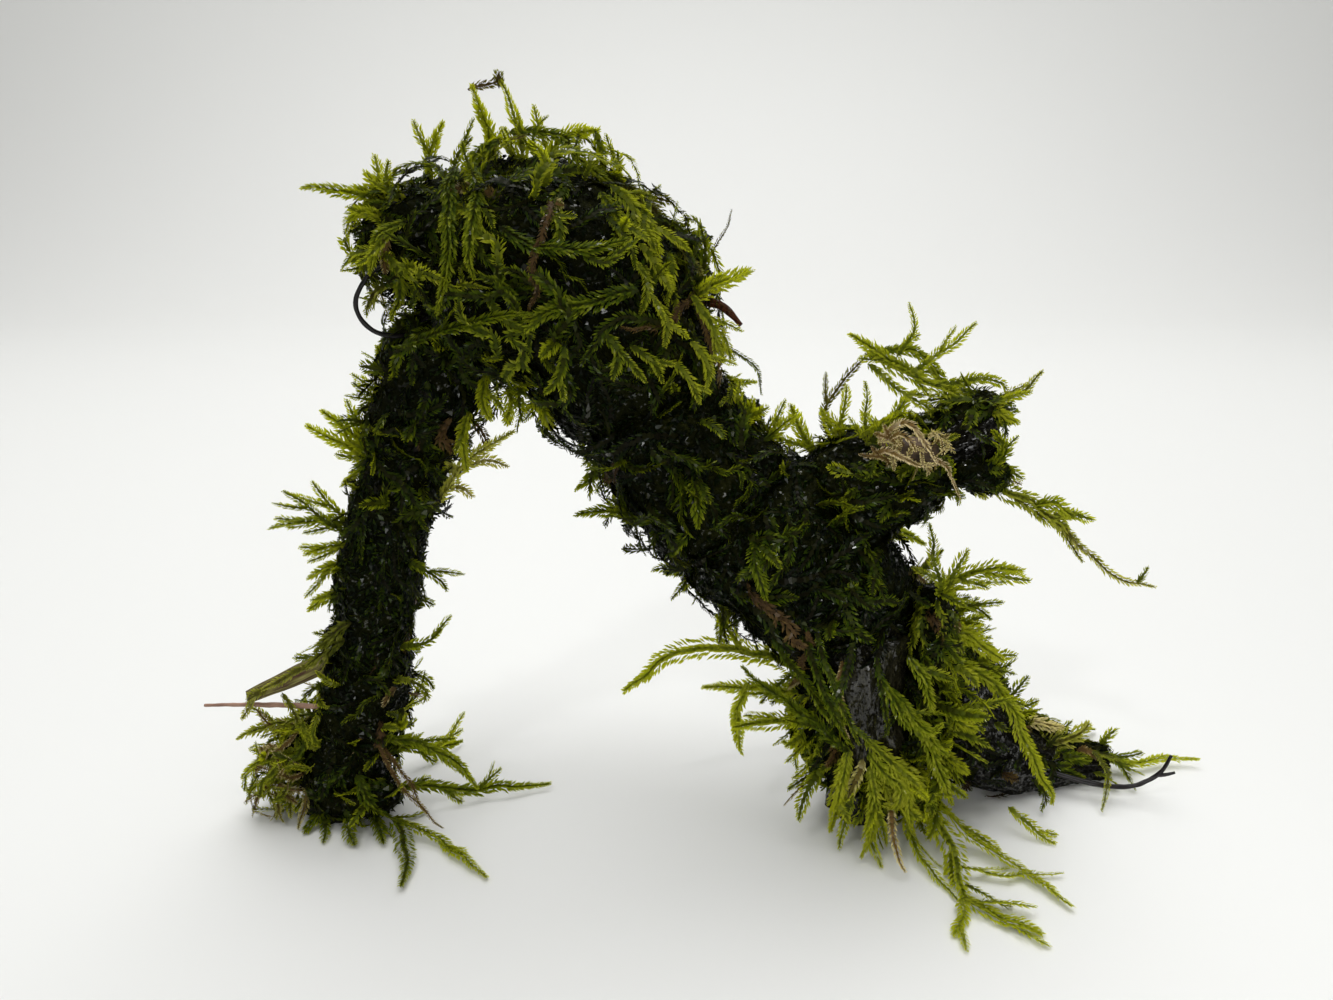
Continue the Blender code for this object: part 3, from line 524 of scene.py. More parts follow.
class Clump:
    """A clump of moss: its mat, and its leaves as rows of start, length, width, fold and tint.

    A tint is how fresh the leaf is, lifted in places by painted light (lighter on upward-facing mat and in
    the clumps near the floor), how dead it is, and a chance value of its own. Length, width, rise and fresh
    are each the least and the most that a frond may have, and on is a mat other than the clump's own.
    """

    def __init__(self, node, seed, *pads, sink=MAT_SINK):
        self.chance = np.random.default_rng(seed)
        self.mat = Mat(node, pads, sink)
        self.slivers = []

    def add(self, starts, lengths, widths, folds, fresh, dead):
        luck = self.chance.random(len(starts))
        fresh = np.clip(fresh + np.zeros(len(starts)), 0, 1)
        dead = np.clip(dead + np.zeros(len(starts)), 0, 1)
        self.slivers.append(np.column_stack([starts, lengths, widths, folds, fresh, dead, luck]))

    def frond(self, route, width, facing, fresh, dead=0.0, twist=0.0, top_row=False):
        """One frond along a route: a stem with a row of leaves at each side, flat towards facing."""
        chance = self.chance
        travelled = np.concatenate(([0], np.cumsum(np.linalg.norm(np.diff(route, axis=0), axis=1))))
        length = travelled[-1]
        count = max(3, round(length / LEAF_PITCH))
        at = (np.arange(count) + 0.5) * length / count
        place = between(at, travelled, route)
        ahead = unit(np.gradient(place, axis=0))
        side = unit(np.cross(ahead, between(at, travelled, np.broadcast_to(facing, route.shape))))
        out = np.cross(side, ahead)
        share = (at / length)[:, None]
        turn = twist * share
        side, out = np.cos(turn) * side + np.sin(turn) * out, np.cos(turn) * out - np.sin(turn) * side
        form = np.minimum(1, 0.6 + 2.2 * share) * np.minimum(1, 0.3 + 2.2 * (1 - share))
        set_aside = math.sin(math.radians(LEAF_LEAN))
        rows = [(1, 0.0), (-1, 0.5)] + ([(1, 0.25), (-1, 0.75)] if top_row else [])
        for row, (hand, shift) in enumerate(rows):
            above = row > 1
            angle = np.radians(chance.normal(UPPER_LEAN if above else LEAF_LEAN, 6, (count, 1)))
            reach = width / 2 * form * chance.uniform(0.75, 1.12, (count, 1))
            size = np.minimum(reach * 0.8 / set_aside, LONGEST_LEAF)
            set_out = 0.12 * reach if above else reach - size * set_aside
            cup = chance.normal(0.42 if above else 0.1, 0.12, (count, 1))
            way = unit(np.cos(angle) * ahead + hand * np.sin(angle) * side + cup * out)
            tilt = chance.normal(0.25 * hand, 0.3, (count, 1))
            broad = unit(np.cross(out + tilt * side, way))
            girth = np.clip(size * 0.27, 0.2, 0.4) * chance.uniform(0.85, 1.15, (count, 1))
            start = place + ahead * LEAF_PITCH * shift + side * hand * set_out
            brightness = fresh + 0.22 * (share[:, 0] - 0.4) + chance.normal(0, 0.06, count)
            self.add(start, way * size, broad * girth, np.cross(way, broad) * girth * 0.28, brightness, dead)
        # The stem is a chain of slender flat slivers, each running on under the next, older than the leaves.
        count = max(2, round(length / STEM_PITCH))
        joints = np.linspace(0, length, count + 1)
        place = between(joints, travelled, route)
        piece = np.diff(place, axis=0) * STEM_LAP
        piece[-1] *= 0.6
        way = unit(piece)
        lift = unit(np.cross(between(joints[:-1], at, side), way))
        girth = np.linspace(1, STEM_TIP, count)[:, None] * RIBBON * width
        broad = np.cross(way, lift)
        fold = lift * (0.05 + girth * 0.25)
        self.add(place[:-1] - lift * 0.1, piece, broad * girth, fold, fresh * 0.62, dead + 0.12)

    def dead_by(self, share):
        return DEAD if self.chance.random() < share else 0.0

    def thatch(
        self, per_area, length, width, rise, fresh,
        flow=(0, 0, 0), spread=1.0, wander=0.2, dead_share=0.025, on=None,
    ):
        """Fronds that lie over a mat, so many to a square centimetre, drawn along by flow."""
        chance = self.chance
        mat = on or self.mat
        for place, normal in mat.places(mat.area / 100 * per_area, chance):
            if noise.noise(place * 0.16 + Vector((9, 4, 2))) < chance.normal(THATCH_GAP, 0.1):
                continue
            heading = laid(Vector(flow) + Vector(chance.normal(0, spread, 3)), normal)
            reach, top = chance.uniform(*length), chance.uniform(*rise)

            def slope(share):
                return top * (0.2 + 0.8 * share**1.4)

            route, outs = mat.walk(place, heading, reach, slope, wander, chance)
            route[:, 2] = np.maximum(route[:, 2], 0.5)
            if route[:, 2].max() > TOP - 0.5:
                continue
            dead = self.dead_by(dead_share)
            # Fronds on upward-facing parts of the mat are painted lighter: painted top light.
            tone = chance.uniform(*fresh) + 0.2 * normal.z
            outs = outs + chance.normal(0, 0.35, 3)
            self.frond(route, chance.uniform(*width), outs, tone, dead, chance.normal(0, 0.5))

    def strands(
        self, number, length, width, rise, fresh,
        flow=(0, 0, 0), spread=1.0, wander=0.1, dead_share=0.035, on=None,
    ):
        """Long fronds that cross a mat in low arcs, each with its tip free."""
        chance = self.chance
        mat = on or self.mat
        for place, normal in mat.places(number, chance):
            heading = laid(Vector(flow) + Vector(chance.normal(0, spread, 3)), normal)
            reach, top, tip = chance.uniform(*length), chance.uniform(*rise), chance.uniform(0, 1.2)

            def arc(share):
                return 0.4 + top * math.sin(math.pi * share) ** 0.7 + tip * share**3

            route, outs = mat.walk(place, heading, reach, arc, wander, chance)
            route[:, 2] = np.clip(route[:, 2], 0.5, TOP)
            dead = self.dead_by(dead_share)
            # Strands on upward-facing parts of the mat are painted lighter: painted top light.
            tone = chance.uniform(*fresh) + 0.12 * normal.z
            across = chance.uniform(*width)
            outs = outs + chance.normal(0, 0.3, 3)
            self.frond(route, across, outs, tone, dead, chance.normal(0, 0.6))

    def tufts(
        self, per_area, length, width, rise, fresh, flow=(0, 0, 0), curl=0.09, dead_share=0.03, on=None
    ):
        """Fronds that stand out from a mat and bend over, so many to a square centimetre."""
        chance = self.chance
        mat = on or self.mat
        for place, normal in mat.places(mat.area / 100 * per_area, chance):
            lean = Vector(flow) + Vector(chance.normal(0, 0.6, 3))
            heading = (normal * chance.uniform(*rise) + lean).normalized()
            if heading.dot(normal) < 0.15:
                heading = (heading + normal * 0.4).normalized()
            bend = Vector(chance.normal(0, curl, 3)) - UP * DROOP
            reach = chance.uniform(*length)
            steps = max(4, round(reach / 0.8))
            route = [place - normal * 0.3]
            for _ in range(steps):
                route.append(route[-1] + heading * (reach / steps))
                heading = (heading + bend).normalized()
                if route[-1].z < 0.7:
                    route[-1].z = 0.7
                    heading.z = max(heading.z, 0)
            route = np.array(route)
            if route[:, 2].max() > TOP + 0.5 or covered(Vector(route[-1]), normal, mat.node):
                continue
            roll = chance.normal(0, 1, 3) + np.array(normal) * 1.2
            dead = self.dead_by(dead_share)
            # Tufts on upward-facing parts of the mat are painted lighter: painted top light.
            tone = chance.uniform(*fresh) + 0.1 * normal.z
            self.frond(route, chance.uniform(*width), roll, tone, dead, chance.normal(0, 0.7))

    def litter(self, per_area, fresh=(0.0, 0.12)):
        """Single dark wet leaves that lie on the mat every way round, so many to a square millimetre."""
        chance = self.chance
        found = self.mat.places(self.mat.area * per_area, chance)
        place = np.array([start + out * 0.05 for start, out in found])
        out = np.array([normal for _, normal in found])
        way = np.cross(chance.normal(0, 1, place.shape), out)
        way = unit(way + out * chance.uniform(0.05, 0.5, (len(place), 1)))
        broad = unit(np.cross(out + chance.normal(0, 0.3, place.shape), way))
        size = chance.uniform(0.8, 1.6, (len(place), 1))
        tone = chance.uniform(*fresh, len(place))
        self.add(place, way * size, broad * size * 0.36, np.cross(way, broad) * size * 0.1, tone, 0.0)

    def shoot(self, width, fresh, branches, places, dead=0.0):
        """A long shoot along the given places, with side branches that leave it at alternate sides."""
        chance = self.chance
        route = np.array([point.xyz for point in smooth_route([(*place, 0) for place in places], 0.7)])
        phase = Vector(chance.normal(0, 9, 3))
        for index, point in enumerate(route):
            here = Vector(point) * 0.25
            sway = [noise.noise(here + phase), noise.noise(here + phase.yzx), noise.noise(here + phase.zxy)]
            point += np.array(sway) * SWAY * min(1, index / 6)
        route[:, 2] = np.maximum(route[:, 2], LYING)
        facing = shoot_facing(route)
        self.frond(route, width, facing, fresh, dead, chance.normal(0, 0.35), width > 1.9)
        ahead = unit(np.gradient(route, axis=0))
        for number in range(round(branches * 0.6)):
            at = round((0.15 + 0.72 * (number + chance.uniform(0.1, 0.9)) / branches) * (len(route) - 1))
            side = np.cross(ahead[at], facing) * (1 if number % 2 else -1)
            way = unit(ahead[at] + side * chance.uniform(0.4, 0.9) + chance.normal(0, 0.25, 3))
            reach = chance.uniform(3, 6) * (1.1 - 0.5 * at / len(route)) * (0.7 + 0.15 * width)
            steps = np.linspace(0, reach, 6)[:, None]
            twig = route[at] + way * steps + (ahead[at] - way * 0.3) * steps**2 * 0.06
            twig[:, 2] = np.maximum(twig[:, 2], LYING)
            turned = facing + chance.normal(0, 0.3, 3)
            self.frond(twig, width * TWIG_WIDTH, turned, fresh + 0.08, dead, chance.normal(0, 0.5))

    def shoots(self, *listed):
        """Long shoots: for each its width, how fresh it is, its branches, its route and how dead it is."""
        for shoot in listed:
            self.shoot(*shoot)

    def mesh(self):
        """The mat and all the leaves as one mesh: the mat takes the first material, the leaves the second."""
        slivers = np.concatenate(self.slivers)
        start, length, width, fold, tint = np.split(slivers, 5, axis=1)
        u, v, w = (LEAF_CORNERS[:, axis][None, :, None] for axis in range(3))
        corners = start[:, None] + u * length[:, None] + v * width[:, None] + w * fold[:, None]
        corners[:, :, 2] = np.maximum(corners[:, :, 2], LOWEST)
        faces = (LEAF_FACES[None] + 4 * np.arange(len(slivers))[:, None, None]).reshape(-1, 3)
        leaves = bpy.data.meshes.new("leaves")
        leaves.from_pydata(corners.reshape(-1, 3) * MM, [], faces)
        # A leaf is darker at its root than at its tip.
        tints = np.repeat(np.insert(tint, 3, 1, axis=1)[:, None], 4, axis=1)
        tints[:, :, 0] = np.clip(tints[:, :, 0] * (0.62 + 0.56 * LEAF_CORNERS[:, 0]), 0, 1)
        growth = leaves.attributes.new("growth", "FLOAT_COLOR", "POINT")
        growth.data.foreach_set("color", tints.ravel())
        bm = joined(self.mat.meshes)
        split = len(bm.faces)
        bm.from_mesh(leaves)
        bm.faces.ensure_lookup_table()
        for face in bm.faces[split:]:
            face.material_index = 1
        return made("moss", bm)


old_moss = Finish("matted_old_moss")
here = old_moss.node("TexCoord", {}, {}, 3)
tufting = old_moss.node("TexVoronoi", {}, {"Vector": here, "Scale": 1500.0})
patches = old_moss.noise(here, 190.0, Detail=4.0)
crumbs = old_moss.noise(here, 1400.0, Detail=3.0)
mat_stops = [(0.3, (0.0015, 0.002, 0.0005)), (0.55, (0.007, 0.008, 0.001)), (0.75, (0.03, 0.032, 0.006))]
old_moss.set(
    Base_Color=old_moss.ramp(patches * 0.6 + crumbs * 0.4, *mat_stops),
    Roughness=0.5 + 0.2 * patches,
    Specular_IOR_Level=0.03,
    Coat_Weight=old_moss.ramp(crumbs, (0.6, (0, 0, 0)), (0.66, (1, 1, 1))),
    Coat_Roughness=0.08,
    Normal=old_moss.bump(crumbs - tufting * 0.8, 1.0, 0.0005),
)

leafy = Finish("java_moss_leaves")
growth = leafy.node("Attribute", {"attribute_name": "growth"})
# The red of growth is how fresh a leaf is, lifted in places by painted light; it sets the leaf's green.
fresh_and_lit_part = leafy.node("SeparateColor", {}, {"Color": growth})
dead_part = Value(fresh_and_lit_part.socket.node.outputs[1])
luck = Value(fresh_and_lit_part.socket.node.outputs[2])
leaf_stops = [
    (0.0, (0.001, 0.002, 0.0003)),
    (0.2, (0.0035, 0.009, 0.0006)),
    (0.42, (0.036, 0.066, 0.0035)),
    (0.66, (0.2, 0.235, 0.015)),
    (0.95, (0.54, 0.53, 0.07)),
]
dead_stops = [(0.0, (0.03, 0.018, 0.008)), (0.5, (0.15, 0.085, 0.03)), (1.0, (0.95, 0.78, 0.48))]
leaf_green = leafy.ramp(fresh_and_lit_part + (luck - 0.5) * 0.24, *leaf_stops)
leaf_brown = leafy.ramp(fresh_and_lit_part + (luck - 0.5) * 0.2, *dead_stops)
leaf_colours = {"Factor": dead_part, 6: leaf_green, 7: leaf_brown}
leafy.set(
    Base_Color=leafy.node("Mix", {"data_type": "RGBA"}, leaf_colours, 2),
    Roughness=0.35 + 0.2 * fresh_and_lit_part,
    Specular_IOR_Level=0.05,
    Coat_Weight=leafy.ramp(luck, (0.93, (0, 0, 0)), (0.97, (1, 1, 1))),
    Coat_Roughness=0.12,
)
# Light that falls on the back of a leaf glows through it, least where it is dead.
glow = leafy.node("BsdfTranslucent", {}, {"Color": (0.83, 0.86, 0.07)})
share = (fresh_and_lit_part * 0.85) * (1 - dead_part * 0.5)
surface = leafy.node("MixShader", {}, {0: share, 1: Value(leafy.shader.outputs[0]), 2: glow})
feed(leafy.tree.nodes["Material Output"].inputs["Surface"], surface)

moss = Clump(
    "moss_crown",
    11,
    [
        (-45, 3, 84, 5.5), (-40.5, 3, 83, 8.5), (-35.5, 4, 82, 11), (-29.5, 4, 80.5, 13.8),
        (-23.5, 4, 79, 14.4), (-18, 4, 74.5, 14.2), (-14.5, 4, 68, 13), (-12.2, 4, 63.5, 11.6),
    ],
)
moss.litter(1.1)
moss.thatch(6, (5, 10), (1.3, 2), (0.4, 1.2), (0.04, 0.26))
moss.thatch(3, (7, 12), (1.4, 2.2), (1, 3), (0.1, 0.42))
moss.strands(66, (10, 20), (1.1, 1.9), (1.2, 3.4), (0, 0.44), flow=(0, 0, -0.7), wander=0.22)
moss.strands(22, (10, 18), (1.3, 2), (1.5, 4), (0.42, 0.78), flow=(0.2, 0, 0.7), wander=0.22)
moss.tufts(1.6, (4, 8), (1.2, 1.9), (0.4, 1.1), (0.35, 0.75))
moss.shoots(
    # out to the left and up, with the bent top
    (2.2, 0.67, 2, [(-41.5, 3, 87.5), (-45.5, 1, 89), (-49.5, 0, 89.5), (-53.5, -1, 89.5)]),
    (2.4, 0.9, 3, [(-42.5, 2, 86), (-44.5, 1, 89), (-46, 1, 91.5)]),
    (1.8, 0.65, 2, [(-44, 2, 80.5), (-46.5, 1, 81.5), (-49, 0, 81)]),
    (2.2, 0.8, 1, [(-39, 4, 88), (-38.5, 4, 93), (-36.5, 4, 97.5)]),
    (2, 0.88, 1, [(-30, 4, 90), (-31, 4, 96), (-33, 4, 102)]),
    (1.5, 0.35, 0, [(-33.5, 4, 101.5), (-31, 4, 102), (-29, 4, 102.5)], 0.6),
    (1.6, 0.45, 0, [(-29.5, 4, 101.5), (-29.5, 4, 103.5)], 0.4),
    (1.7, 0.9, 1, [(-26, 3, 90), (-27.5, 3, 98.5), (-29, 4, 102.5)]),
    # out to the right
    (2.4, 0.9, 2, [(-24, 3, 90), (-21.5, 2, 95.5), (-17, 1, 96.5)]),
    (1.8, 0.7, 1, [(-17.5, 1, 96.5), (-17, 2, 94.5), (-16.5, 3, 88)]),
    (2.2, 0.7, 2, [(-13, 2, 80), (-14, 2, 88.5), (-14.5, 2, 92.5)]),
    (2.8, 0.98, 4, [(-6.5, -2, 76), (-2, -3.5, 78.5), (1.5, -4, 80)]),
    (0.8, 0.3, 0, [(-12, 6, 79), (-4, 7, 80.5), (-1.5, 7, 84), (0, 7, 87.5)], 0.5),
    (1, 0.4, 1, [(-4, 7, 80.5), (-5.5, 7, 83), (-6, 6, 85.5)], 0.2),
    (1, 0.45, 0, [(-5, 3, 70.5), (0, 3, 69.3), (3, 3, 67), (4.2, 3, 63.3)]),
    (1, 0.8, 0, [(-43, 2, 82), (-46.5, 1.5, 80), (-45.5, 1, 76.5), (-45, 1, 74)], 0.7),
    (2.4, 0.5, 3, [(-21, 1, 70), (-24.5, 1, 63), (-25, 1, 60)]),
    # down the right side
    (2.4, 0.45, 1, [(-18, 2, 91.7), (-12, 2, 88.6), (-8.5, 2, 84.1), (-4.6, 0, 79.5)], 0.35),
    (1.9, 0.77, 2, [(-15.4, -5, 90.1), (-13, -6, 87.7), (-12, -7, 84.8)]),
    (1.9, 0.85, 2, [(-10.8, -5, 86.5), (-10.1, -6, 83.6), (-10.5, -7, 81)]),
    (1.7, 0.95, 2, [(-12, -7, 83.6), (-9.8, -7, 81), (-8.5, -8, 78.2)]),
    (1.7, 0.8, 1, [(-8.5, -5, 82.3), (-8, -6, 79.3), (-8.5, -7, 76.3)]),
    (1.5, 0.85, 1, [(-5.7, -5, 77.4), (-3.9, -5, 74.6), (-1.6, -5, 72.3), (-1, -5, 69.5)]),
    (1.3, 0.8, 1, [(-5.1, -5, 76.1), (-2.9, -6, 73.1), (-2.3, -6, 69.9)]),
    (2, 0.7, 1, [(-16.7, -4, 89.5), (-14.5, -6, 86.1), (-14, -7, 82.7)]),
    # hanging and crossing in front
    (2, 0.6, 1, [(-42.3, -2, 87.2), (-43.1, -3, 83.6), (-41.7, -4, 78.9), (-42.9, -4, 74)]),
    (1.8, 0.65, 1, [(-45.5, 0, 85.3), (-47.1, 0, 81.7), (-45.1, -1, 77.4)]),
    (2.2, 0.53, 2, [(-33.9, -4, 92.3), (-34.4, -8.5, 87.2), (-33.9, -11, 81.6), (-35.7, -11, 75.8)]),
    (2, 0.55, 1, [(-32.1, -4, 92.9), (-30.6, -9, 88.4), (-31.5, -11.5, 83.9), (-31, -11.5, 80)]),
    (2, 0.47, 1, [(-41, -8, 71.5), (-35.7, -10, 73), (-29.4, -11.5, 75.1), (-24.7, -11.5, 75.8)]),
    (2.6, 0.5, 1, [(-11.8, -11, 78.3), (-17.6, -12, 77.2), (-22.9, -12, 75.8), (-25.5, -11, 75)]),
    (2.2, 0.45, 1, [(-28.1, -10, 85.6), (-23.4, -11, 83.4), (-17.6, -11, 82.8), (-13, -10, 83.9)]),
    (2.2, 0.55, 1, [(-28.5, 3, 96.4), (-21.9, 2, 96), (-19.9, 0, 93.6), (-15.4, 0, 90.1)]),
    (2, 0.6, 1, [(-29, 0, 95.3), (-32, -1, 93), (-33.4, -3, 89.5)]),
    # the fan at the left
    (2, 0.75, 2, [(-41, 0, 84), (-45, -2, 86.5), (-48, -3, 86)]),
    (1.8, 0.7, 1, [(-42, -2, 82), (-46, -4, 82.5), (-48.5, -4, 80.5)]),
    (2, 0.65, 1, [(-40, -4, 86), (-43, -6, 84), (-44.5, -6, 80)]),
    (1.8, 0.6, 1, [(-41, -3, 79), (-44.5, -4, 78), (-46, -4, 74.5)], 0.2),
    (1.8, 0.8, 1, [(-40, 0, 87), (-43, -1, 90), (-42.5, -1, 93)]),
    # the tangle on top
    (1.7, 0.75, 1, [(-31.4, 3, 90), (-30.8, 3, 93.5), (-29.4, 3, 96.4)]),
    (1.7, 0.8, 1, [(-27.1, 3, 90.5), (-27.7, 3, 94), (-28.8, 3, 96.8)]),
    (1.7, 0.75, 1, [(-24, 3, 91), (-25.2, 3, 94), (-27.5, 3, 96.3)]),
    (1.2, 0.45, 0, [(-32.7, 3, 93.7), (-29.3, 2, 95.1), (-26.2, 2, 95.7)], 0.5),
    (1.7, 0.65, 1, [(-35.8, 3, 91), (-34.8, 3, 93.7), (-33.2, 3, 96.1)]),
    (1.7, 0.7, 1, [(-15.6, 3, 90.7), (-14.8, 3, 92.5), (-15, 3, 94.1)]),
    # over the face
    (1.45, 0.62, 1, [(-15.9, -6, 86.7), (-13.2, -9, 83.9), (-12.3, -10, 80.8)]),
    (1.55, 0.8, 1, [(-11.9, -6, 81.2), (-10.9, -9, 78.2), (-11.8, -10, 75.4)]),
    (1.65, 0.9, 1, [(-10.1, -7, 76.8), (-8.5, -9, 74.4), (-9, -9.5, 71.4)]),
    (1.65, 0.6, 1, [(-16.5, -11, 73.7), (-14.4, -12, 71.3), (-15.2, -12, 68.2)]),
    (1.45, 0.75, 1, [(-13.1, -10, 71.8), (-10.1, -11, 69.9), (-9.2, -11, 67.2)]),
    (1.55, 0.95, 1, [(-5.8, -6, 71.8), (-4, -7, 69.3), (-3.6, -7, 66.1)]),
    (1.65, 0.62, 1, [(-20.6, -12, 72.1), (-21.2, -12.5, 69), (-23.2, -12, 66.5)]),
    (1.65, 0.8, 1, [(-10.7, -3, 88.3), (-11.3, -6, 85.5), (-10.1, -7, 82.7)]),
    (1.45, 0.9, 1, [(-8.3, -8, 69.7), (-5.8, -9, 67.4), (-4.6, -9, 64.7)]),
    (1.55, 0.55, 1, [(-18.7, -11, 82.9), (-16.3, -12, 81.6), (-13.8, -12, 82)]),
    (1.65, 0.7, 1, [(-23.4, -8, 87.8), (-21, -10, 85.6), (-21.2, -11, 82.9)]),
    (1.65, 0.95, 1, [(-4.5, -4, 75.3), (-2.6, -5, 72.9), (-1.8, -5, 70.2)]),
    # the fringe under the arch
    (2, 0.8, 2, [(-32.2, 0, 66.9), (-32.6, -2, 63.8), (-31.7, -2, 60.9)]),
    (2, 0.88, 2, [(-29.4, 0, 65.1), (-28.7, -2, 62.9), (-29.6, -2, 60.2)]),
    (2.2, 0.78, 2, [(-26.6, 0, 64.5), (-24.5, -2, 62.2), (-23.6, -2, 59.6)]),
    # behind
    (2.4, 0.8, 3, [(-30, 12, 86), (-33, 21, 92), (-36, 26, 95)]),
    (2.6, 0.75, 3, [(-18, 14, 80), (-15, 22, 83), (-11, 27, 82)]),
    (2.2, 0.55, 2, [(-24, 14, 74), (-27, 21, 67), (-28, 24, 60)]),
)
clump = set_in_place("crown_moss", moss.mesh(), old_moss.material, leafy.material)
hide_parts("moss_crown")


# The upper half of the slim leg: a sleeve of moss with forked bright shoots to the left, and a yellowed shoot
# that bridges the inside of the arch.
moss = Clump(
    "moss_leg_upper",
    23,
    [(-38, 4, 70, 7.6), (-40, 4, 66, 7.6), (-42.5, 4, 60.5, 7), (-44.5, 4, 54, 6.4), (-46, 4, 49, 6.2)],
)
moss.litter(1.2)
moss.thatch(9, (4, 8), (1.4, 2.1), (0.3, 1), (0.03, 0.24), flow=(0, 0, -0.6))
moss.thatch(7, (5, 9), (1.5, 2.3), (0.8, 2.4), (0.15, 0.5))
moss.strands(18, (6, 12), (1.3, 2), (0.8, 2.2), (0.1, 0.45), flow=(0, 0, -0.8))
moss.tufts(3.6, (3, 6), (1.4, 2.1), (0.4, 1.2), (0.3, 0.7))
moss.shoots(
    (2.2, 0.75, 3, [(-44.5, 4, 61.5), (-46, 3, 65.5), (-47, 3, 69.5)]),
    (1.8, 0.6, 2, [(-46, 4, 61), (-48, 3, 63), (-50.5, 3, 64.5)]),
    (2.4, 0.85, 3, [(-47, 4, 52.5), (-51, 3, 57), (-55, 2, 61.5)]),
    (2.4, 0.88, 3, [(-47.5, 4, 51.5), (-52, 2, 56.5), (-56.5, 1, 59.5)]),
    (1.8, 0.8, 2, [(-47.5, 4, 51), (-50.5, 3, 53), (-53.5, 3, 50.5)]),
    (2.6, 0.7, 2, [(-42.5, 3, 49.5), (-41.5, 3, 51.5), (-38.5, 3, 55)]),
    # across the inside of the arch
    (2.2, 0.95, 2, [
        (-42, 2, 47.5), (-39.9, 1, 49.1), (-36.6, 1, 53.3), (-33.1, 1, 56.5), (-29, 1, 58.6)
    ], 0.3),
    (1.7, 0.95, 0, [(-36.6, 1, 53.3), (-33.2, 1, 54.5), (-30.1, 1, 53.9)], 0.5),
    (1.7, 0.95, 0, [(-38.7, 1, 50.8), (-36.5, 1, 50.8), (-35.2, 1, 49.7)], 0.5),
    (2, 0.8, 2, [(-34.6, 0, 61.8), (-35.5, -2, 58.2), (-34.9, -2, 54.2)]),
    (2.4, 0.6, 3, [(-41, 8, 58), (-44, 15, 61), (-47, 19, 66)]),
)
clump = set_in_place("leg_upper_moss", moss.mesh(), old_moss.material, leafy.material)
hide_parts("moss_leg_upper")


# The lower half of the slim leg: old moss pressed flat, black and wet, with short bright shoots that stand
# out to the left and two to the right.
moss = Clump(
    "moss_leg_lower",
    37,
    [(-46.4, 4, 49, 6.4), (-48.4, 4, 42, 6.4), (-50, 4, 36, 6.5), (-51, 4, 30, 6.4), (-51.8, 4, 24.5, 6.4)],
)
moss.litter(2.6, (0, 0.3))
moss.thatch(11, (5, 10), (0.9, 1.5), (0.2, 0.8), (0, 0.26), flow=(0, 0, -3))
moss.thatch(3, (3, 8), (1.1, 1.7), (0.5, 1.8), (0.15, 0.5), flow=(0, 0, -0.9))
moss.tufts(2, (2.5, 5), (1.2, 1.9), (0.5, 1.2), (0.25, 0.65))
moss.shoots(
    (2, 0.6, 3, [(-51.5, 3, 44), (-56.5, 2, 46), (-63, 1, 45)]),
    (1.8, 0.8, 1, [(-52, 3, 44.5), (-55.5, 3, 47.5), (-57.5, 3, 51)]),
    (1.6, 0.62, 1, [(-52.5, 2, 43.5), (-57, 1, 47.5), (-61, 1, 50.5)]),
    (2, 0.8, 3, [(-52, 3, 41.5), (-55.5, 2, 42), (-58.5, 1, 41.5)]),
    (2.2, 0.75, 2, [(-52.5, 4, 38.5), (-56, 3, 38.5), (-59.5, 3, 37)]),
    (2, 0.75, 2, [(-53, 3, 35), (-56.5, 2, 34.5), (-59.5, 2, 32.5)]),
    (1.4, 0.6, 1, [(-54, 3, 29), (-57, 2, 29), (-59, 2, 29)]),
    # on the dead strip
    (2.6, 0.5, 0, [(-52.6, -1, 31.9), (-55.9, -1, 29.8), (-58.7, 0, 26.8)], 0.2),
    (2.4, 0.52, 1, [(-53.7, -1, 29.2), (-56.7, 0, 27.3), (-59.8, 0, 24.8)], 0.2),
    (1.4, 0.62, 0, [(-58.7, -1, 26.8), (-60, -1, 26.4), (-61.3, -1, 26.5)]),
    # to the right and behind
    (1.6, 0.55, 1, [(-46, 1, 40.5), (-42.5, 1, 39), (-39.5, 1, 35.5)]),
    (1.8, 0.65, 1, [(-47, 1, 27), (-43.5, 1, 28), (-40.5, 1, 30)]),
    (2.2, 0.55, 2, [(-49, 8, 36), (-51, 15, 38), (-54, 19, 37)]),
)
clump = set_in_place("leg_lower_moss", moss.mesh(), old_moss.material, leafy.material)
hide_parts("moss_leg_lower")


# The left foot: a dark sleeve, an open tangle of curled fronds at its left, and long shoots that lie out on
# the floor in front of it and to the right.
moss = Clump(
    "moss_left_foot",
    41,
    [(-52.3, 4, 23, 6.6), (-53, 4, 19, 6.8), (-55, 4, 14, 7), (-57, 4, 9, 7.2), (-57.5, 4, 4, 7.6)],
    [(-58, 4, 16, 2.6), (-62, 3, 12.5, 2.4), (-65.5, 2, 8.5, 2), (-67, 2, 5.5, 1.6)],
    [(-60, 0, 4, 3.4), (-56.5, -1.5, 3.5, 3.6), (-52.5, -1.5, 3.5, 3.2), (-49.5, 0, 4.5, 2.6)],
)
moss.litter(1.5)
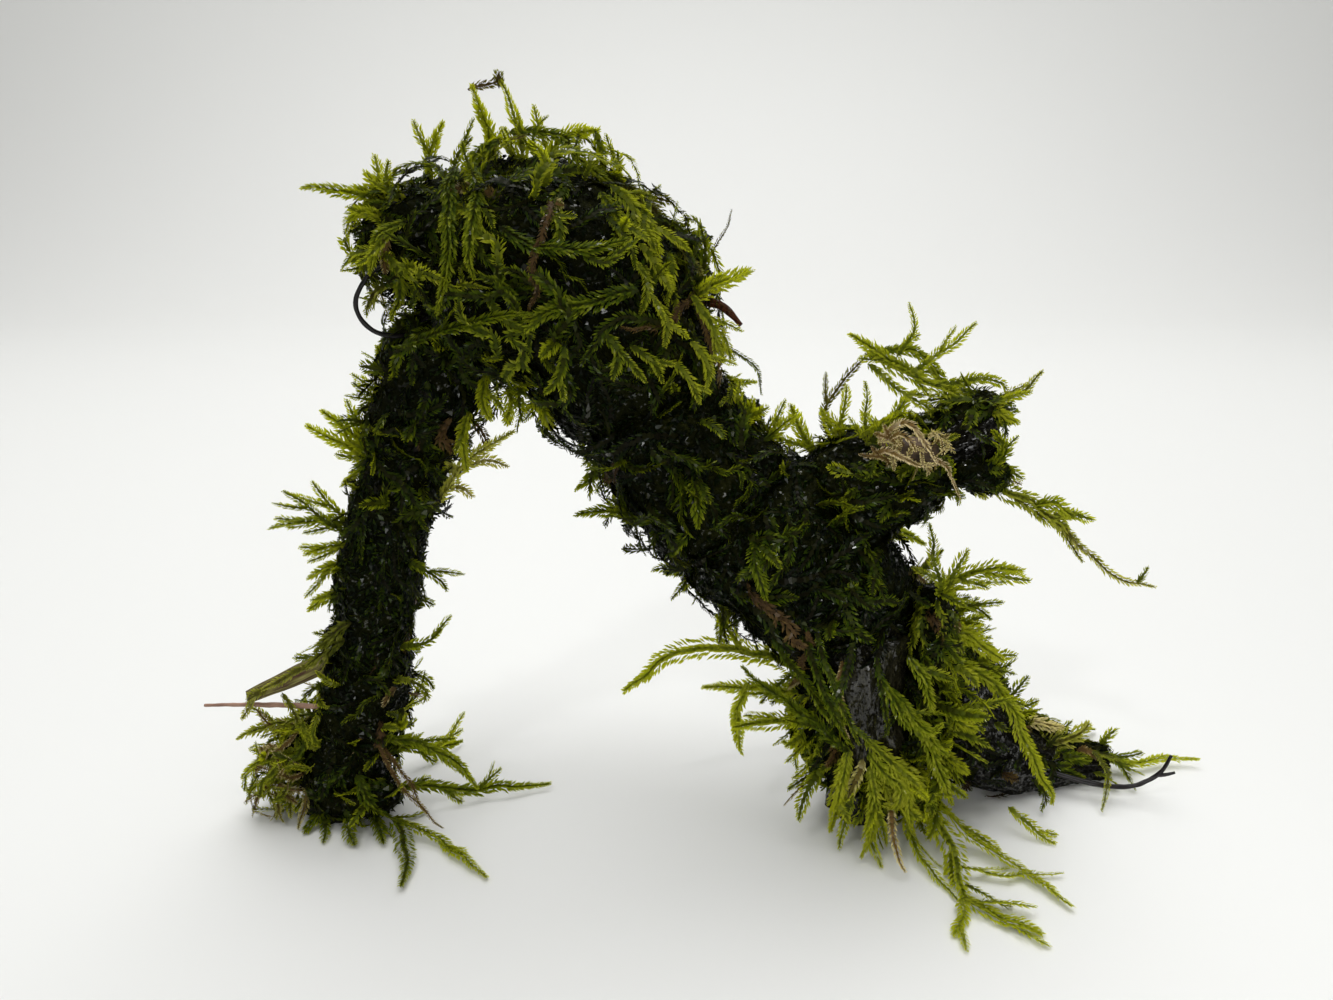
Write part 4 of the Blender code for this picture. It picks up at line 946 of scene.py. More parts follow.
# The fronds of this clump are partly painted lighter than the moss higher up: painted light for the brighter
# light near the floor.
moss.thatch(7, (3, 8), (1.3, 2), (0.3, 1.2), (0.11, 0.38), flow=(0, 0, -0.8))
moss.thatch(4, (4, 9), (1.3, 2), (0.8, 2.4), (0.28, 0.63), flow=(0, 0, -0.5), wander=0.3)
moss.tufts(5, (3, 7), (1.1, 1.8), (0.4, 1.2), (0.43, 0.83), curl=0.12, dead_share=0.12)
tangle_mat = Mat("moss_left_foot", [[
    (-59, 3, 15, 2.2), (-63, 2, 12, 2.4), (-66, 1, 8, 2.2), (-67, 1, 4, 1.8),
]], 0.6)
moss.tufts(
    34, (4, 7), (0.9, 1.6), (0.3, 1.2), (0.53, 0.88),
    flow=(-0.4, -0.1, -0.3), curl=0.3, dead_share=0.3, on=tangle_mat,
)
moss.strands(
    34, (6, 12), (0.9, 1.6), (1, 3.4), (0.48, 0.83),
    flow=(-0.2, 0, -0.8), wander=0.35, dead_share=0.35, on=tangle_mat,
)
moss.shoots(
    (2, 0.68, 3, [(-61, 3, 12.5), (-66.5, 2, 14), (-71.5, 1, 12.5)], 0.15),
    (2.2, 0.73, 3, [(-63.5, 2, 10), (-68, 1, 8.5), (-70.5, 0, 8)]),
    (1.8, 0.68, 3, [(-65, 2, 9), (-68, 1, 5.5), (-70, 2.5, 1)], 0.2),
    (1.6, 0.68, 2, [(-62.5, 1, 6.5), (-65, -1, 3.5), (-66.5, -2, 1)], 0.25),
    # over the floor
    (2.4, 0.5, 2, [(-59, 0, 3), (-60, -3, 1.5), (-61, -5, 0.6)]),
    (2.4, 0.53, 2, [(-55.5, -1, 3), (-54.5, -5, 1.2), (-53, -8, 0.6)]),
    (2.2, 0.5, 2, [(-52.5, -1, 3), (-50.5, -4, 1.2), (-49, -7.5, 0.6)]),
    (3, 0.5, 2, [(-53.5, -3, 9), (-51, -5, 4.5), (-48.5, -3, 1.6), (-45, -9.5, 0.8), (-44.5, -17, 0.6)]),
    (2.2, 0.78, 1, [(-48.5, -3, 1.4), (-41, -7.5, 0.8), (-33, -15, 0.6)]),
    (2.2, 0.58, 4, [(-51.5, -1, 4), (-46, 1.5, 4), (-37.5, 4, 1.8), (-27, 7, 0.8)]),
    (1.5, 0.68, 1, [(-37.5, 4, 1.8), (-35.5, 4, 4), (-34, 4, 5.5)]),
    (2, 0.63, 3, [(-50.5, 1, 12.5), (-44, 1.5, 11), (-39.5, 2, 7), (-37.5, 2.5, 3)]),
    (1.6, 0.93, 1, [(-43, 1.5, 10.5), (-41, 2.5, 11.8), (-39, 3, 13)]),
    # brown and yellowed ones
    (0.9, 0.53, 0, [(-51, 0, 13), (-48.5, -1, 7), (-45, -2, 3), (-41, -4, 0.8)], 0.9),
    (0.9, 0.48, 0, [(-50.5, 1, 11), (-47, 0, 6), (-44.5, -1, 1)], 0.9),
    (1.4, 0.68, 0, [(-67.5, 0, 8), (-66.5, -1, 4), (-65, -3, 0.7)], 0.5),
    (1.3, 0.68, 0, [(-60.5, 0, 8), (-61.5, -2, 4), (-62.5, -4, 0.7)], 0.6),
    (1.8, 0.68, 1, [(-66.3, 0.5, 20.6), (-68.2, 0.5, 19.8), (-69.9, 1, 18.6)], 0.25),
    (1.4, 0.68, 0, [(-59.6, 0, 24.6), (-63.4, 0, 22.8), (-66.9, 0, 21)], 0.25),
    (1.4, 0.7, 0, [(-64.1, 0, 20.5), (-63.1, 0, 18.3), (-62.4, 0, 15.7), (-62.2, 0, 13.5)], 0.2),
    (1.2, 0.78, 0, [(-58.7, 0, 22.4), (-58.5, 0, 20.8), (-58.9, 0, 19.6)], 0.2),
    (1.4, 0.68, 0, [(-47.5, 0, 23), (-43.5, -1, 22), (-43, -1, 20), (-46, -1, 18)], 0.1),
    # behind
    (2.2, 0.58, 3, [(-56, 9, 6), (-58, 15, 2.5), (-62, 21, 0.8)]),
    (2.2, 0.58, 3, [(-53, 9, 6), (-47, 15, 2.5), (-43, 20, 0.8)]),
)
clump = set_in_place("left_foot_moss", moss.mesh(), old_moss.material, leafy.material)
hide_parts("moss_left_foot")


# The trunk under the crown: dark pressed moss crossed by longer fronds that run down the trunk, with a bright
# fringe under the arch and two tufts on top.
moss = Clump(
    "moss_trunk_upper",
    53,
    [(-10, 4, 60.5, 11), (-5.5, 3.5, 53, 11), (-0.5, 3, 48, 11.6)],
)
moss.litter(2)
moss.thatch(7, (4, 9), (1.4, 2.2), (0.2, 0.9), (0, 0.17), flow=(0.6, 0, -0.8))
moss.thatch(5, (6, 13), (1.5, 2.4), (0.8, 2.6), (0.09, 0.45), flow=(0.5, 0, -0.6))
moss.strands(28, (8, 15), (1.3, 2.1), (0.8, 2.4), (0.09, 0.47), flow=(0.5, 0, -0.7))
moss.tufts(2.2, (3, 7), (1.4, 2.1), (0.3, 1.1), (0.25, 0.65))
moss.shoots(
    (2.4, 0.8, 3, [(0, 2, 58), (2.5, 0.5, 61), (3, 0, 63)]),
    (2, 0.8, 2, [(3, 3, 55), (6, 2, 58.5), (8.5, 2, 60.5)]),
    (2, 0.6, 2, [(-14, 4, 54), (-18, 3.5, 52.5), (-21, 3, 50)]),
    (2.6, 0.5, 4, [(-7, 2, 46), (-11.5, 1, 46.8), (-16, 1, 47.5), (-21, 1, 47)]),
    (2.4, 0.45, 2, [(-5, -4.5, 55), (-5, -8.5, 52.5), (-5, -10.5, 49)]),
    (2.4, 0.65, 3, [(-5, 11, 59), (0, 18, 62), (5, 24, 61)]),
    (2.2, 0.5, 3, [(-7, 11, 54), (-9, 18, 51), (-11, 23, 46)]),
)
clump = set_in_place("trunk_upper_moss", moss.mesh(), old_moss.material, leafy.material)
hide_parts("moss_trunk_upper")


# The trunk above the feet: the same pressed moss, darkest here, down to where the two feet part. Only five
# long shoots stand out from it, two of them behind.
moss = Clump(
    "moss_trunk_lower",
    67,
    [(2, 3, 46, 12), (8.5, 3, 40.5, 12.6), (14, 3, 36, 12.2), (17, 3, 32.5, 11)],
)
moss.litter(2.2)
moss.thatch(7, (4, 9), (1.4, 2.2), (0.2, 0.9), (0, 0.12), flow=(0.5, 0, -0.9))
moss.thatch(4.5, (6, 12), (1.5, 2.4), (0.8, 2.4), (0.04, 0.36), flow=(0.4, 0, -0.8))
moss.strands(28, (8, 14), (1.3, 2.1), (0.8, 2.2), (0.04, 0.39), flow=(0.4, 0, -0.9))
moss.tufts(2.2, (3, 7), (1.4, 2.1), (0.3, 1.1), (0.2, 0.6))
moss.shoots(
    (2.2, 0.5, 3, [(-2, 3, 41), (-6, 2, 39), (-9, 2, 38)]),
    (2.2, 0.45, 2, [(3, -7, 47), (3, -10.5, 44), (4, -12, 40)]),
    (1.8, 0.5, 1, [(3, 1, 34), (-0.5, 0, 32.5), (-1, -1, 27.5)], 0.1),
    (2.4, 0.6, 3, [(12, 13, 44), (10, 20, 40), (7, 24, 34)]),
    (2.4, 0.6, 3, [(18, 12, 37), (26, 19, 38), (33, 23, 35)]),
)
clump = set_in_place("trunk_lower_moss", moss.mesh(), old_moss.material, leafy.material)
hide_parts("moss_trunk_lower")


# The branch: a thick fringe along its top, and a plume that arches over it on one brown stem and spreads
# into long feathery shoots.
moss = Clump(
    "moss_branch",
    71,
    [(15, 3.5, 48.5, 8.8), (19, 3.5, 50.5, 8.2), (23, 3, 52, 7.4), (27, 3, 54, 6.4)],
    [(26, 3.5, 57.5, 3), (30, 3, 60, 3.2), (35, 3, 61.5, 3)],
)
moss.litter(1.5)
moss.thatch(9, (4, 8), (1.4, 2.1), (0.3, 1), (0.12, 0.42), flow=(0.3, 0, -0.3))
moss.thatch(6, (5, 10), (1.4, 2.1), (0.8, 2.4), (0.26, 0.68))
branch_skin = Mat("moss_branch", [[(27, 3, 54.6, 5.4), (32, 3, 57, 4.8), (35, 3, 58.2, 4.2)]], 0)
moss.thatch(9, (3, 6), (1.1, 1.8), (0.2, 0.9), (0.02, 0.3), flow=(0.2, 0, -0.7), on=branch_skin)
moss.tufts(2, (2, 4), (1.2, 1.8), (0.4, 1), (0.3, 0.7), on=branch_skin)
moss.tufts(5, (3, 6), (1.5, 2.2), (0.4, 1.2), (0.42, 0.82))
moss.shoots(
    (2.2, 0.82, 2, [(11.5, 4, 55), (9, 4, 59), (8, 3, 62)]),
    (2.6, 0.92, 3, [(15.5, 4, 54.5), (14.5, 4, 58.5), (12, 4, 60.5)]),
    # the plume
    (1.4, 0.47, 2, [(14.5, 5, 55), (13, 5, 60), (15, 5, 65), (18, 4, 68.5), (20, 4, 69)], 0.35),
    (2.1, 0.79, 2, [(25, 3, 65.6), (20.5, 3.4, 68.6), (15.5, 3, 71.5)]),
    (2.6, 0.79, 4, [(18, 4, 69), (23, 3, 66.5), (28.5, 3, 64), (34, 2.5, 61)]),
    (1.9, 0.87, 2, [(18, 3, 67.5), (22.5, 2, 64), (27, 2.5, 61), (29, 3, 60)]),
    (2.1, 0.67, 3, [(20, 4, 69), (25, 5, 68.5), (29.5, 5, 64), (31, 4, 61.5)]),
    (1.2, 0.82, 0, [(22, 4, 68), (24, 4, 72), (23.5, 4, 75.5)]),
    (1.6, 0.92, 1, [(23.5, 3, 66), (28.5, 3, 69.5), (32, 3, 73)]),
    (1.8, 0.77, 2, [(27, 3, 64.3), (33, 3.5, 65.5), (37, 4, 64.5), (37.5, 4, 62.5)]),
    (1.6, 0.72, 1, [(33, 3, 62), (37.5, 2, 63.5), (41.5, 2, 66.5)], 0.2),
    (2, 0.92, 2, [(32.5, 2.5, 61.5), (35.5, 1, 61.5), (38, 1, 60)]),
    (1.5, 0.85, 2, [(18.5, 1, 55.5), (18, 1, 60), (17.5, 1, 65.5)]),
    (2.4, 0.67, 3, [(23, 8, 54), (25, 15, 57), (29, 20, 61)]),
)
clump = set_in_place("branch_moss", moss.mesh(), old_moss.material, leafy.material)
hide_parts("moss_branch")


# The end of the branch: one long shoot that droops to the right and forks, with a few short ones at its
# root, under the bare end of the wood.
moss = Clump(
    "moss_branch_end",
    83,
    [(31, 1, 54, 2.6), (33.5, 0, 53.5, 2.6), (36, 0, 52.5, 2)],
    sink=0.3,
)
moss.litter(1.5)
moss.thatch(14, (3, 7), (1.3, 2), (0.2, 1), (0.15, 0.55), flow=(1, 0, -0.5))
moss.tufts(7, (2, 5), (1.3, 2), (0.3, 1), (0.4, 0.75), flow=(0.5, 0, -0.4))
moss.shoots(
    (2.2, 0.6, 2, [(33.5, 0, 54), (35.6, -2.2, 56.5), (34, -2.6, 59.5)]),
    (3.2, 0.74, 1, [(32, 1, 54.5), (37, 0, 51), (43, 0, 47.5), (47.5, 0, 43.5)], 0.1),
    (1.6, 0.7, 0, [(37, 0, 50.6), (43, 0, 46.8), (46.5, 0, 43.2), (49, 0, 40.5)], 0.25),
    (1.7, 0.8, 0, [(43, 0, 47.5), (47.5, 0, 43.5), (52.5, -1, 39), (59, -1, 37)], 0.35),
    (2.4, 0.75, 1, [(41, 0, 48.5), (43.5, -1, 49.5), (46, -1, 47.5)]),
    (1.2, 0.6, 0, [(56, -1, 37.6), (57, -1, 39), (57.5, -1, 40)]),
    (2, 0.7, 2, [(31.5, 1.5, 54), (33, 2, 51), (35, 2, 49)], 0.2),
)
clump = set_in_place("branch_end_moss", moss.mesh(), old_moss.material, leafy.material)
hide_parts("moss_branch_end")


# The spray at the left of the front foot: long shoots that arch out to the left and down to the floor. The
# fronds between them are combed the same way, away from the wood.
moss = Clump(
    "moss_foot_spray_left",
    97,
    [(13.5, -0.5, 25, 4), (13, -1, 20, 4.4), (14, -1.5, 14, 3.6), (16, -2.5, 9, 2.6)],
    sink=0.5,
)
moss.litter(1.5)
# The fronds of this spray are partly painted lighter than the moss higher up: painted light for the brighter
# light near the floor.
moss.thatch(22, (5, 10), (1.3, 2.1), (0.3, 1.6), (0.14, 0.66), flow=(-0.5, -0.3, -1.2), spread=0.4)
moss.tufts(7, (4, 9), (1.5, 2.3), (0.3, 1), (0.49, 0.89), flow=(-0.8, -0.1, -0.8))
moss.shoots(
    (3.2, 0.88, 3, [(14, 0, 22.5), (7.5, -1, 26), (-2.5, -2, 28.5), (-9, -2, 26.5), (-14.5, -2, 21.5)]),
    (2.4, 0.8, 2, [(14, -1, 21), (6, -2.4, 22.5), (-3.5, -3, 23)]),
    (2, 0.94, 1, [(3, -2.6, 23.6), (1, -3, 18.5), (2.5, -3, 12)]),
    (2.8, 0.8, 3, [(15, -1, 17), (9, -3.4, 17.8), (0.5, -5.2, 18)]),
    (2.2, 0.86, 2, [(15.5, -1.5, 13), (11.5, -3, 13), (7.5, -4, 15)]),
    (1.8, 0.54, 1, [(16.5, -2, 9.5), (12.5, -3, 9), (9, -3, 6.5)]),
    (2.6, 0.9, 2, [(16.5, -7.5, 16), (15.6, -7.5, 10), (15.2, -6, 4.5), (15, -4.5, 0.7)]),
)
clump = set_in_place("foot_spray_left_moss", moss.mesh(), old_moss.material, leafy.material)
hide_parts("moss_foot_spray_left")


# The spray at the right of the front foot: shoots that reach right, and one that arches over the rear foot to
# the floor.
moss = Clump(
    "moss_foot_spray_right",
    101,
    [(28.6, -1, 36, 2.8), (28.6, -1, 29, 3.8), (28.4, -2, 21, 4), (27.4, -3.5, 14, 3.6)],
    sink=0.5,
)
moss.litter(1.5)
# The fronds of this spray are partly painted lighter than the moss higher up: painted light for the brighter
# light near the floor.
moss.thatch(22, (5, 10), (1.3, 2.1), (0.3, 1.6), (0.16, 0.7), flow=(0.4, -0.3, -1.2), spread=0.4)
moss.tufts(10, (4, 9), (1.5, 2.3), (0.3, 1), (0.47, 0.87), flow=(0.8, -0.1, -0.6))
moss.shoots(
    (1.8, 0.8, 1, [(29, -2, 35), (27.5, -4, 41), (26, -4.5, 48)]),
    (2.8, 0.78, 3, [(28.5, -1.5, 35.5), (31.5, -1.5, 38.8), (35, -1.5, 40.2), (39.5, -2, 40)]),
    (1.6, 0.87, 1, [(31.5, -1.5, 38.6), (32.5, -3.4, 38.6), (34.5, -5, 38.6)]),
    (1.8, 0.62, 1, [(29, 0, 32), (32.5, 0, 34.5), (36.5, 0, 32)]),
    (2.6, 0.92, 2, [(29, -1, 29.5), (33.5, -1.5, 30), (38.5, -2, 26.5)]),
    (2.4, 0.8, 2, [(29, -2, 27), (34, -2.5, 25.5), (38.5, -3, 21.5), (42.5, -4, 14.5), (47.5, -3, 4)]),
    (2.4, 0.86, 2, [(28.5, -3, 19.5), (32, -5, 19), (34.5, -6, 18)]),
    (2.4, 0.92, 2, [(28, -4.5, 14.5), (31, -6.5, 13.5), (33, -7.5, 12)]),
    (2.4, 0.72, 3, [(29, 0, 31), (32.5, 8, 32), (36, 16, 29), (39, 22.5, 24)]),
)
clump = set_in_place("foot_spray_right_moss", moss.mesh(), old_moss.material, leafy.material)
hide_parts("moss_foot_spray_right")


# The front of the feet: long wet shoots that flow down over the wood and lie spread on the floor in front.
# Thin old strands cling to the wood under them, and a pad covers its back.
moss = Clump(
    "moss_foot_front",
    113,
    [(20.5, -4, 8.5, 3.4), (24, -5, 8.5, 4), (28, -4.5, 7, 3.4)],
    [(20, 3.6, 27, 6), (20.4, 3.8, 18, 5.5), (21, 4.2, 10, 5.3), (21.4, 4.6, 4, 5.2)],
    sink=0.5,
)
moss.litter(1.5)
# The fronds and shoots of this clump are painted much lighter than the moss higher up: partly painted light
# for the front of the feet, which the lamps leave in shade.
moss.thatch(22, (5, 9), (1.5, 2.3), (0.3, 1.3), (0.51, 0.86), flow=(0.2, -0.9, -0.9), spread=0.4)
wood_skin = Mat("moss_foot_front", [[
    (19.5, 1, 29.5, 7.2), (20, 0.6, 20.5, 6.4), (20.5, 0.6, 12, 6.1), (21, 1.6, 5.5, 6),
]], 0)
moss.strands(12, (4, 9), (0.8, 1.3), (0.3, 0.8), (0.15, 0.5), flow=(0.4, 0, -1.6), spread=0.5, on=wood_skin)
moss.thatch(8, (5, 9), (1.4, 2.2), (0.3, 1.3), (0.3, 0.6), flow=(0.2, -0.9, -0.9), spread=0.5)
moss.tufts(10, (4, 9), (1.5, 2.3), (0.3, 0.9), (0.66, 0.95), flow=(0.1, -0.8, -0.5))
moss.shoots(
    (2, 0.5, 2, [(16.6, -8, 15.6), (10.7, -7, 20.4), (5.5, -6, 24), (1.7, -5, 26.8)]),
    (1.7, 0.42, 1, [(8.7, -8, 35), (10.7, -9, 29.4), (13.6, -9, 23.3), (16.3, -9, 17.3)]),
    (1.5, 0.5, 1, [(11, -8, 34), (13, -9, 28), (15, -9.2, 22.5), (18, -9, 17)]),
    (1.6, 0.35, 0, [(16, -8, 33), (15.5, -9, 28), (14, -9, 24), (13.5, -9, 20)]),
    (1.9, 0.75, 0, [(17.5, -7, 9), (16.5, -8, 5), (15.5, -9, 0.7)]),
    (1.7, 0.85, 0, [(20.5, -8, 8), (20, -10, 4), (20.5, -12.5, 0.7)]),
    (1.6, 0.5, 1, [(5.2, -7, 32), (9.2, -8, 27.7), (12.9, -8.5, 22), (16.6, -9, 16.8)]),
    (1.2, 0.7, 0, [(14.9, -8, 29.5), (14.2, -8.5, 25.3), (15.1, -8.5, 21.4), (16.3, -8.5, 18)], 0.9),
    # over the wood
    (2.4, 0.62, 2, [(19.8, -7.5, 26.9), (22.4, -8.5, 22.8), (26.6, -9, 18.6), (29.5, -9, 15.6)]),
    (2, 0.68, 1, [(22, -7.5, 24.8), (24.5, -9, 21.4), (26.9, -9.5, 19.5), (28.7, -9.5, 20.8)]),
    (1.4, 0.42, 0, [(19.5, -7, 29.7), (20.1, -8, 25.5), (21.1, -8, 21.7), (21.5, -8.5, 18.5)]),
    (2.8, 0.85, 2, [(18.6, -8, 17.7), (21.5, -9.5, 15.2), (25.2, -10, 12.1), (27.6, -10, 9.3)]),
    (2.4, 0.7, 1, [(24.5, -8, 22), (27.5, -9, 17), (29, -9.5, 12), (31, -9, 8)]),
    (2.2, 0.88, 1, [(22.3, -9, 15.2), (24.4, -10, 10.9), (25.2, -10, 5.1)]),
    (2.4, 0.8, 1, [(19.5, -8.5, 14), (20, -9.5, 9), (19.4, -10, 4), (18.5, -11, 0.8)]),
    (2.4, 0.8, 0, [
        (18.9, -8.5, 15.9), (21, -10, 13.7), (23.2, -10.5, 11.5), (23.1, -10, 8.3), (21.4, -9.5, 8)
    ]),
    (2.2, 0.85, 1, [(16.3, -8, 15.9), (15.7, -8.5, 11.5), (14.8, -8.5, 7)]),
    (1.8, 0.8, 0, [(18.4, -8.5, 14.9), (17.4, -9, 12.1), (16.5, -9, 9.1)], 0.5),
    (2.4, 0.66, 2, [(23.8, -7, 29.7), (25.7, -8, 26.5), (27.6, -8.5, 22.6)]),
    (1.4, 0.8, 0, [(22.4, -8, 8), (22.4, -11, 5.2), (22.7, -14, 3.2), (23.5, -15, 1.4)], 0.85),
    (1.8, 0.98, 1, [(41.1, -3, 3.6), (43.7, -5.5, 2), (46.9, -7.5, 0.6)]),
    # over the floor
    (3.4, 0.81, 3, [(25.5, -5, 8.5), (29.5, -8, 4.5), (31, -13, 2), (30, -20, 1)]),
    (3, 0.91, 3, [(30, -19.5, 1), (34, -23.2, 0.6), (38.2, -25.8, 0.4)]),
    (2, 0.98, 1, [(30, -19.5, 1), (29, -23, 0.8), (27.5, -26, 0.6)]),
    (1.6, 0.86, 1, [(25, -5, 7), (26.5, -12, 1.2), (29.5, -19.5, 0.8)]),
    (1.4, 0.71, 0, [(31, -17, 1.2), (34.5, -20.5, 0.8), (36.5, -20, 0.6)]),
    (2.8, 0.89, 1, [(28, -5, 7.5), (34, -8, 2.5), (39.5, -13.5, 0.9), (44, -21, 0.6)]),
    (1.4, 0.91, 1, [(30.5, -14, 1.6), (36, -15, 1.2), (45, -14, 0.6)]),
)
clump = set_in_place("foot_front_moss", moss.mesh(), old_moss.material, leafy.material)
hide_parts("moss_foot_front")


# The rear foot: moss along its back and at its tip, with a broad yellowed blade, a long thin tip and two
# hooked shoots that stand on the floor.
moss = Clump(
    "moss_rear_foot",
    131,
    [(42, 14, 9, 3.4), (49, 14, 6, 3.2), (56, 13, 3.5, 2.8), (61, 11.5, 2.4, 2.6)],
    [(22, 7.5, 32, 7), (26.5, 8, 26, 7.6), (31.5, 9, 19, 8.2), (37.5, 10, 11, 8.2), (43, 11, 6, 6)],
    sink=0.5,
)
moss.litter(1.5)
moss.thatch(16, (3, 8), (1.3, 2.1), (0.2, 1), (0.14, 0.51), flow=(1, 0, -0.1), spread=0.5)
rear_skin = Mat("moss_rear_foot", [[
    (31, 7, 19, 7.8), (37.5, 8, 10, 8.2), (43.5, 9, 5, 6.6), (49.5, 9.5, 3, 4.8),
]], 0)
moss.thatch(9, (3, 7), (1, 1.7), (0.2, 0.8), (0, 0.22), flow=(0.8, 0, -0.4), on=rear_skin)
moss.tufts(1.6, (2, 4), (1.2, 1.8), (0.4, 1), (0.2, 0.6), flow=(0.4, 0, 0.3), on=rear_skin)
moss.tufts(8, (3, 7), (1.3, 2.1), (0.3, 1), (0.41, 0.76), flow=(1, 0, 0))
moss.shoots(
    (3.2, 0.8, 0, [(48.8, 11, 4.8), (51.7, 10, 6.5), (55.3, 9.5, 8.2), (57.2, 9, 10.2)], 0.3),
    (2.4, 0.95, 0, [(47.7, 12, 9.2), (50.5, 11, 9.1), (53.6, 10.5, 8.7)], 0.75),
    (2.6, 0.45, 2, [(50, 9, 4.4), (53.9, 8.5, 4.7), (57.7, 8.5, 4.2)]),
    (2.2, 0.4, 2, [(47, 7, 4.6), (51.5, 6.5, 3.6), (56, 6.5, 2.6)]),
    (1.6, 0.5, 0, [(55.5, 9, 5.7), (57.5, 9, 5.3), (59.2, 9, 4.2)], 0.9),
    (1.8, 0.65, 0, [(58, 8, 2.4), (60.1, 7, 2), (61.7, 6, 1)]),
    (1.2, 0.4, 0, [(46.6, 3, 4.4), (48, 1, 3), (47.6, -0.5, 0.8)]),
    (1.8, 0.5, 0, [(39.3, 6, 16.3), (40.1, 6, 17.4), (41.4, 6, 16.6), (42.4, 5, 14.6)], 0.6),
    # the tip and the hooks
    (2, 0.92, 0, [(58, 11.5, 2.5), (65, 12, 1.6), (71.5, 13, 1.4), (77.5, 13, 1.4)]),
    (1.8, 0.56, 1, [(59.5, 11, 4.4), (61.5, 8.5, 4.2), (63.2, 7, 2.4), (64, 6, 0.6)]),
    (1.2, 0.66, 1, [(57.5, 12, 4.4), (58.5, 8, 5.2), (58.8, 4, 4.8), (57.5, 1.5, 2.8), (56.5, 0, 0.6)], 0.15),
    (2.4, 0.66, 3, [(45, 15, 7), (46, 21, 3), (50, 27, 0.8)]),
    (2.2, 0.66, 3, [(56, 14, 3.5), (60, 19, 2), (65, 24, 0.8)]),
)
clump = set_in_place("rear_foot_moss", moss.mesh(), old_moss.material, leafy.material)
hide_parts("moss_rear_foot")


# The dead tuft: a curled knot of dead, straw-coloured moss that hangs on the front of the branch, dry down
# to its mat.
straw = Finish("matted_straw")
straw_tone = straw.noise(straw.node("TexCoord", {}, {}, 3), 700.0, Detail=3.0)
straw.set(
    Base_Color=straw.ramp(straw_tone, (0.3, (0.02, 0.011, 0.005)), (0.7, (0.12, 0.07, 0.03))),
    Roughness=0.7,
    Normal=straw.bump(straw_tone, 1.0, 0.0004),
)

moss = Clump(
    "dead_moss_tuft",
    149,
    [(20, -3, 57.5, 1.7), (23, -3.4, 57.5, 2), (26, -3.2, 56.4, 1.5)],
    sink=0.3,
)
moss.strands(20, (3, 6), (0.7, 1.1), (0.3, 1.4), (0.6, 1), wander=0.9, dead_share=1)
moss.tufts(22, (2, 3.5), (0.7, 1.1), (0.3, 0.9), (0.6, 1), curl=0.6, dead_share=1)
moss.shoots(
    (1.3, 0.95, 0, [(19.3, -5, 59.7), (20.8, -5.5, 61.2), (22.9, -6.5, 60.2), (25.4, -6.5, 56.1)], 1),
    (1.2, 0.88, 0, [(17.2, -5, 56.6), (19.2, -6, 57.8), (21.2, -7, 57.1), (25.1, -6, 55.5)], 1),
    (1, 0.8, 0, [(19.5, -6, 59.2), (20.6, -6.5, 60.1), (21.8, -7, 59.4), (22.6, -7, 57.9)], 1),
    (1.2, 0.55, 1, [(21.9, -5, 58.2), (20.4, -5.5, 59.1), (19.4, -5.5, 60.1), (19, -5, 61.1)], 1),
    (1.1, 0.5, 1, [(20.3, -5, 56.1), (18.8, -6, 57.1), (17.4, -6, 58.2)], 1),
    (1, 0.9, 1, [(25, -4, 56.5), (27.5, -4.5, 55.5), (28.5, -4.5, 53.5)], 1),
)
clump = set_in_place("dead_tuft", moss.mesh(), straw.material, leafy.material)
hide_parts("dead_moss_tuft")


# The roots: a thin black one that loops out beside the crown, and a black twig with a spur, caught at the
# tip of the rear foot. Both are wet and smooth.
ROOT_LOOP = [
    (-39, 0, 79, 0.29), (-41.5, -2, 80.6, 0.29), (-44, -4, 80.4, 0.29), (-46, -4.5, 78.5, 0.29),
    (-47.2, -4, 76.2, 0.29), (-46.8, -3.5, 74, 0.29), (-45.2, -3, 72.4, 0.29), (-43, -2, 71.8, 0.29),
    (-40, 1, 72, 0.29),
]
ROOT_TWIG = [
    (49, 6.5, 4, 0.4), (53.5, 5, 3.2, 0.4), (57.5, 4, 2.6, 0.38), (62, 3.5, 2.7, 0.34), (65, 3.5, 4, 0.32),
    (66.5, 3.5, 5.5, 0.32), (67.5, 3.5, 8, 0.2),
]
ROOT_TWIG_SPUR = [(65.5, 3.5, 4.6, 0.28), (66.8, 3.3, 4.8, 0.28), (68.2, 3, 5.4, 0.2)]

black_root = Finish("wet_black_root")
root_streaks = black_root.noise(black_root.grain(4, 4, 0.9), 1.0)
black_root.set(
    Base_Color=black_root.ramp(root_streaks, (0.35, (0.002, 0.002, 0.002)), (0.7, (0.015, 0.011, 0.011))),
    Roughness=0.4 + 0.2 * root_streaks,
    Specular_IOR_Level=0.15,
    Coat_Weight=0.25,
    Coat_Roughness=0.1,
    Normal=black_root.bump(root_streaks, 0.6, 0.0002),
)


def root_height(place, outward, corner, travelled):
    """The small swellings along a root, in millimetres."""
    return 0.09 * noise.noise(Vector((corner.x, corner.y, travelled / 1.4)) + place * 0.1)


def root(route, relief):
    return drawn_out(smooth_route(route, 0.5), corners=12, relief=relief, ridges=1.5, shaping=root_height)


loop = set_in_place("black_root_loop", root(ROOT_LOOP, 0.1), black_root.material)
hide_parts("root_loop")
twig = made("joined", joined([root(ROOT_TWIG, 0.15), root(ROOT_TWIG_SPUR, 0.15)]))
twig = set_in_place("black_root_twig", twig, black_root.material)
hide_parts("root_twig")


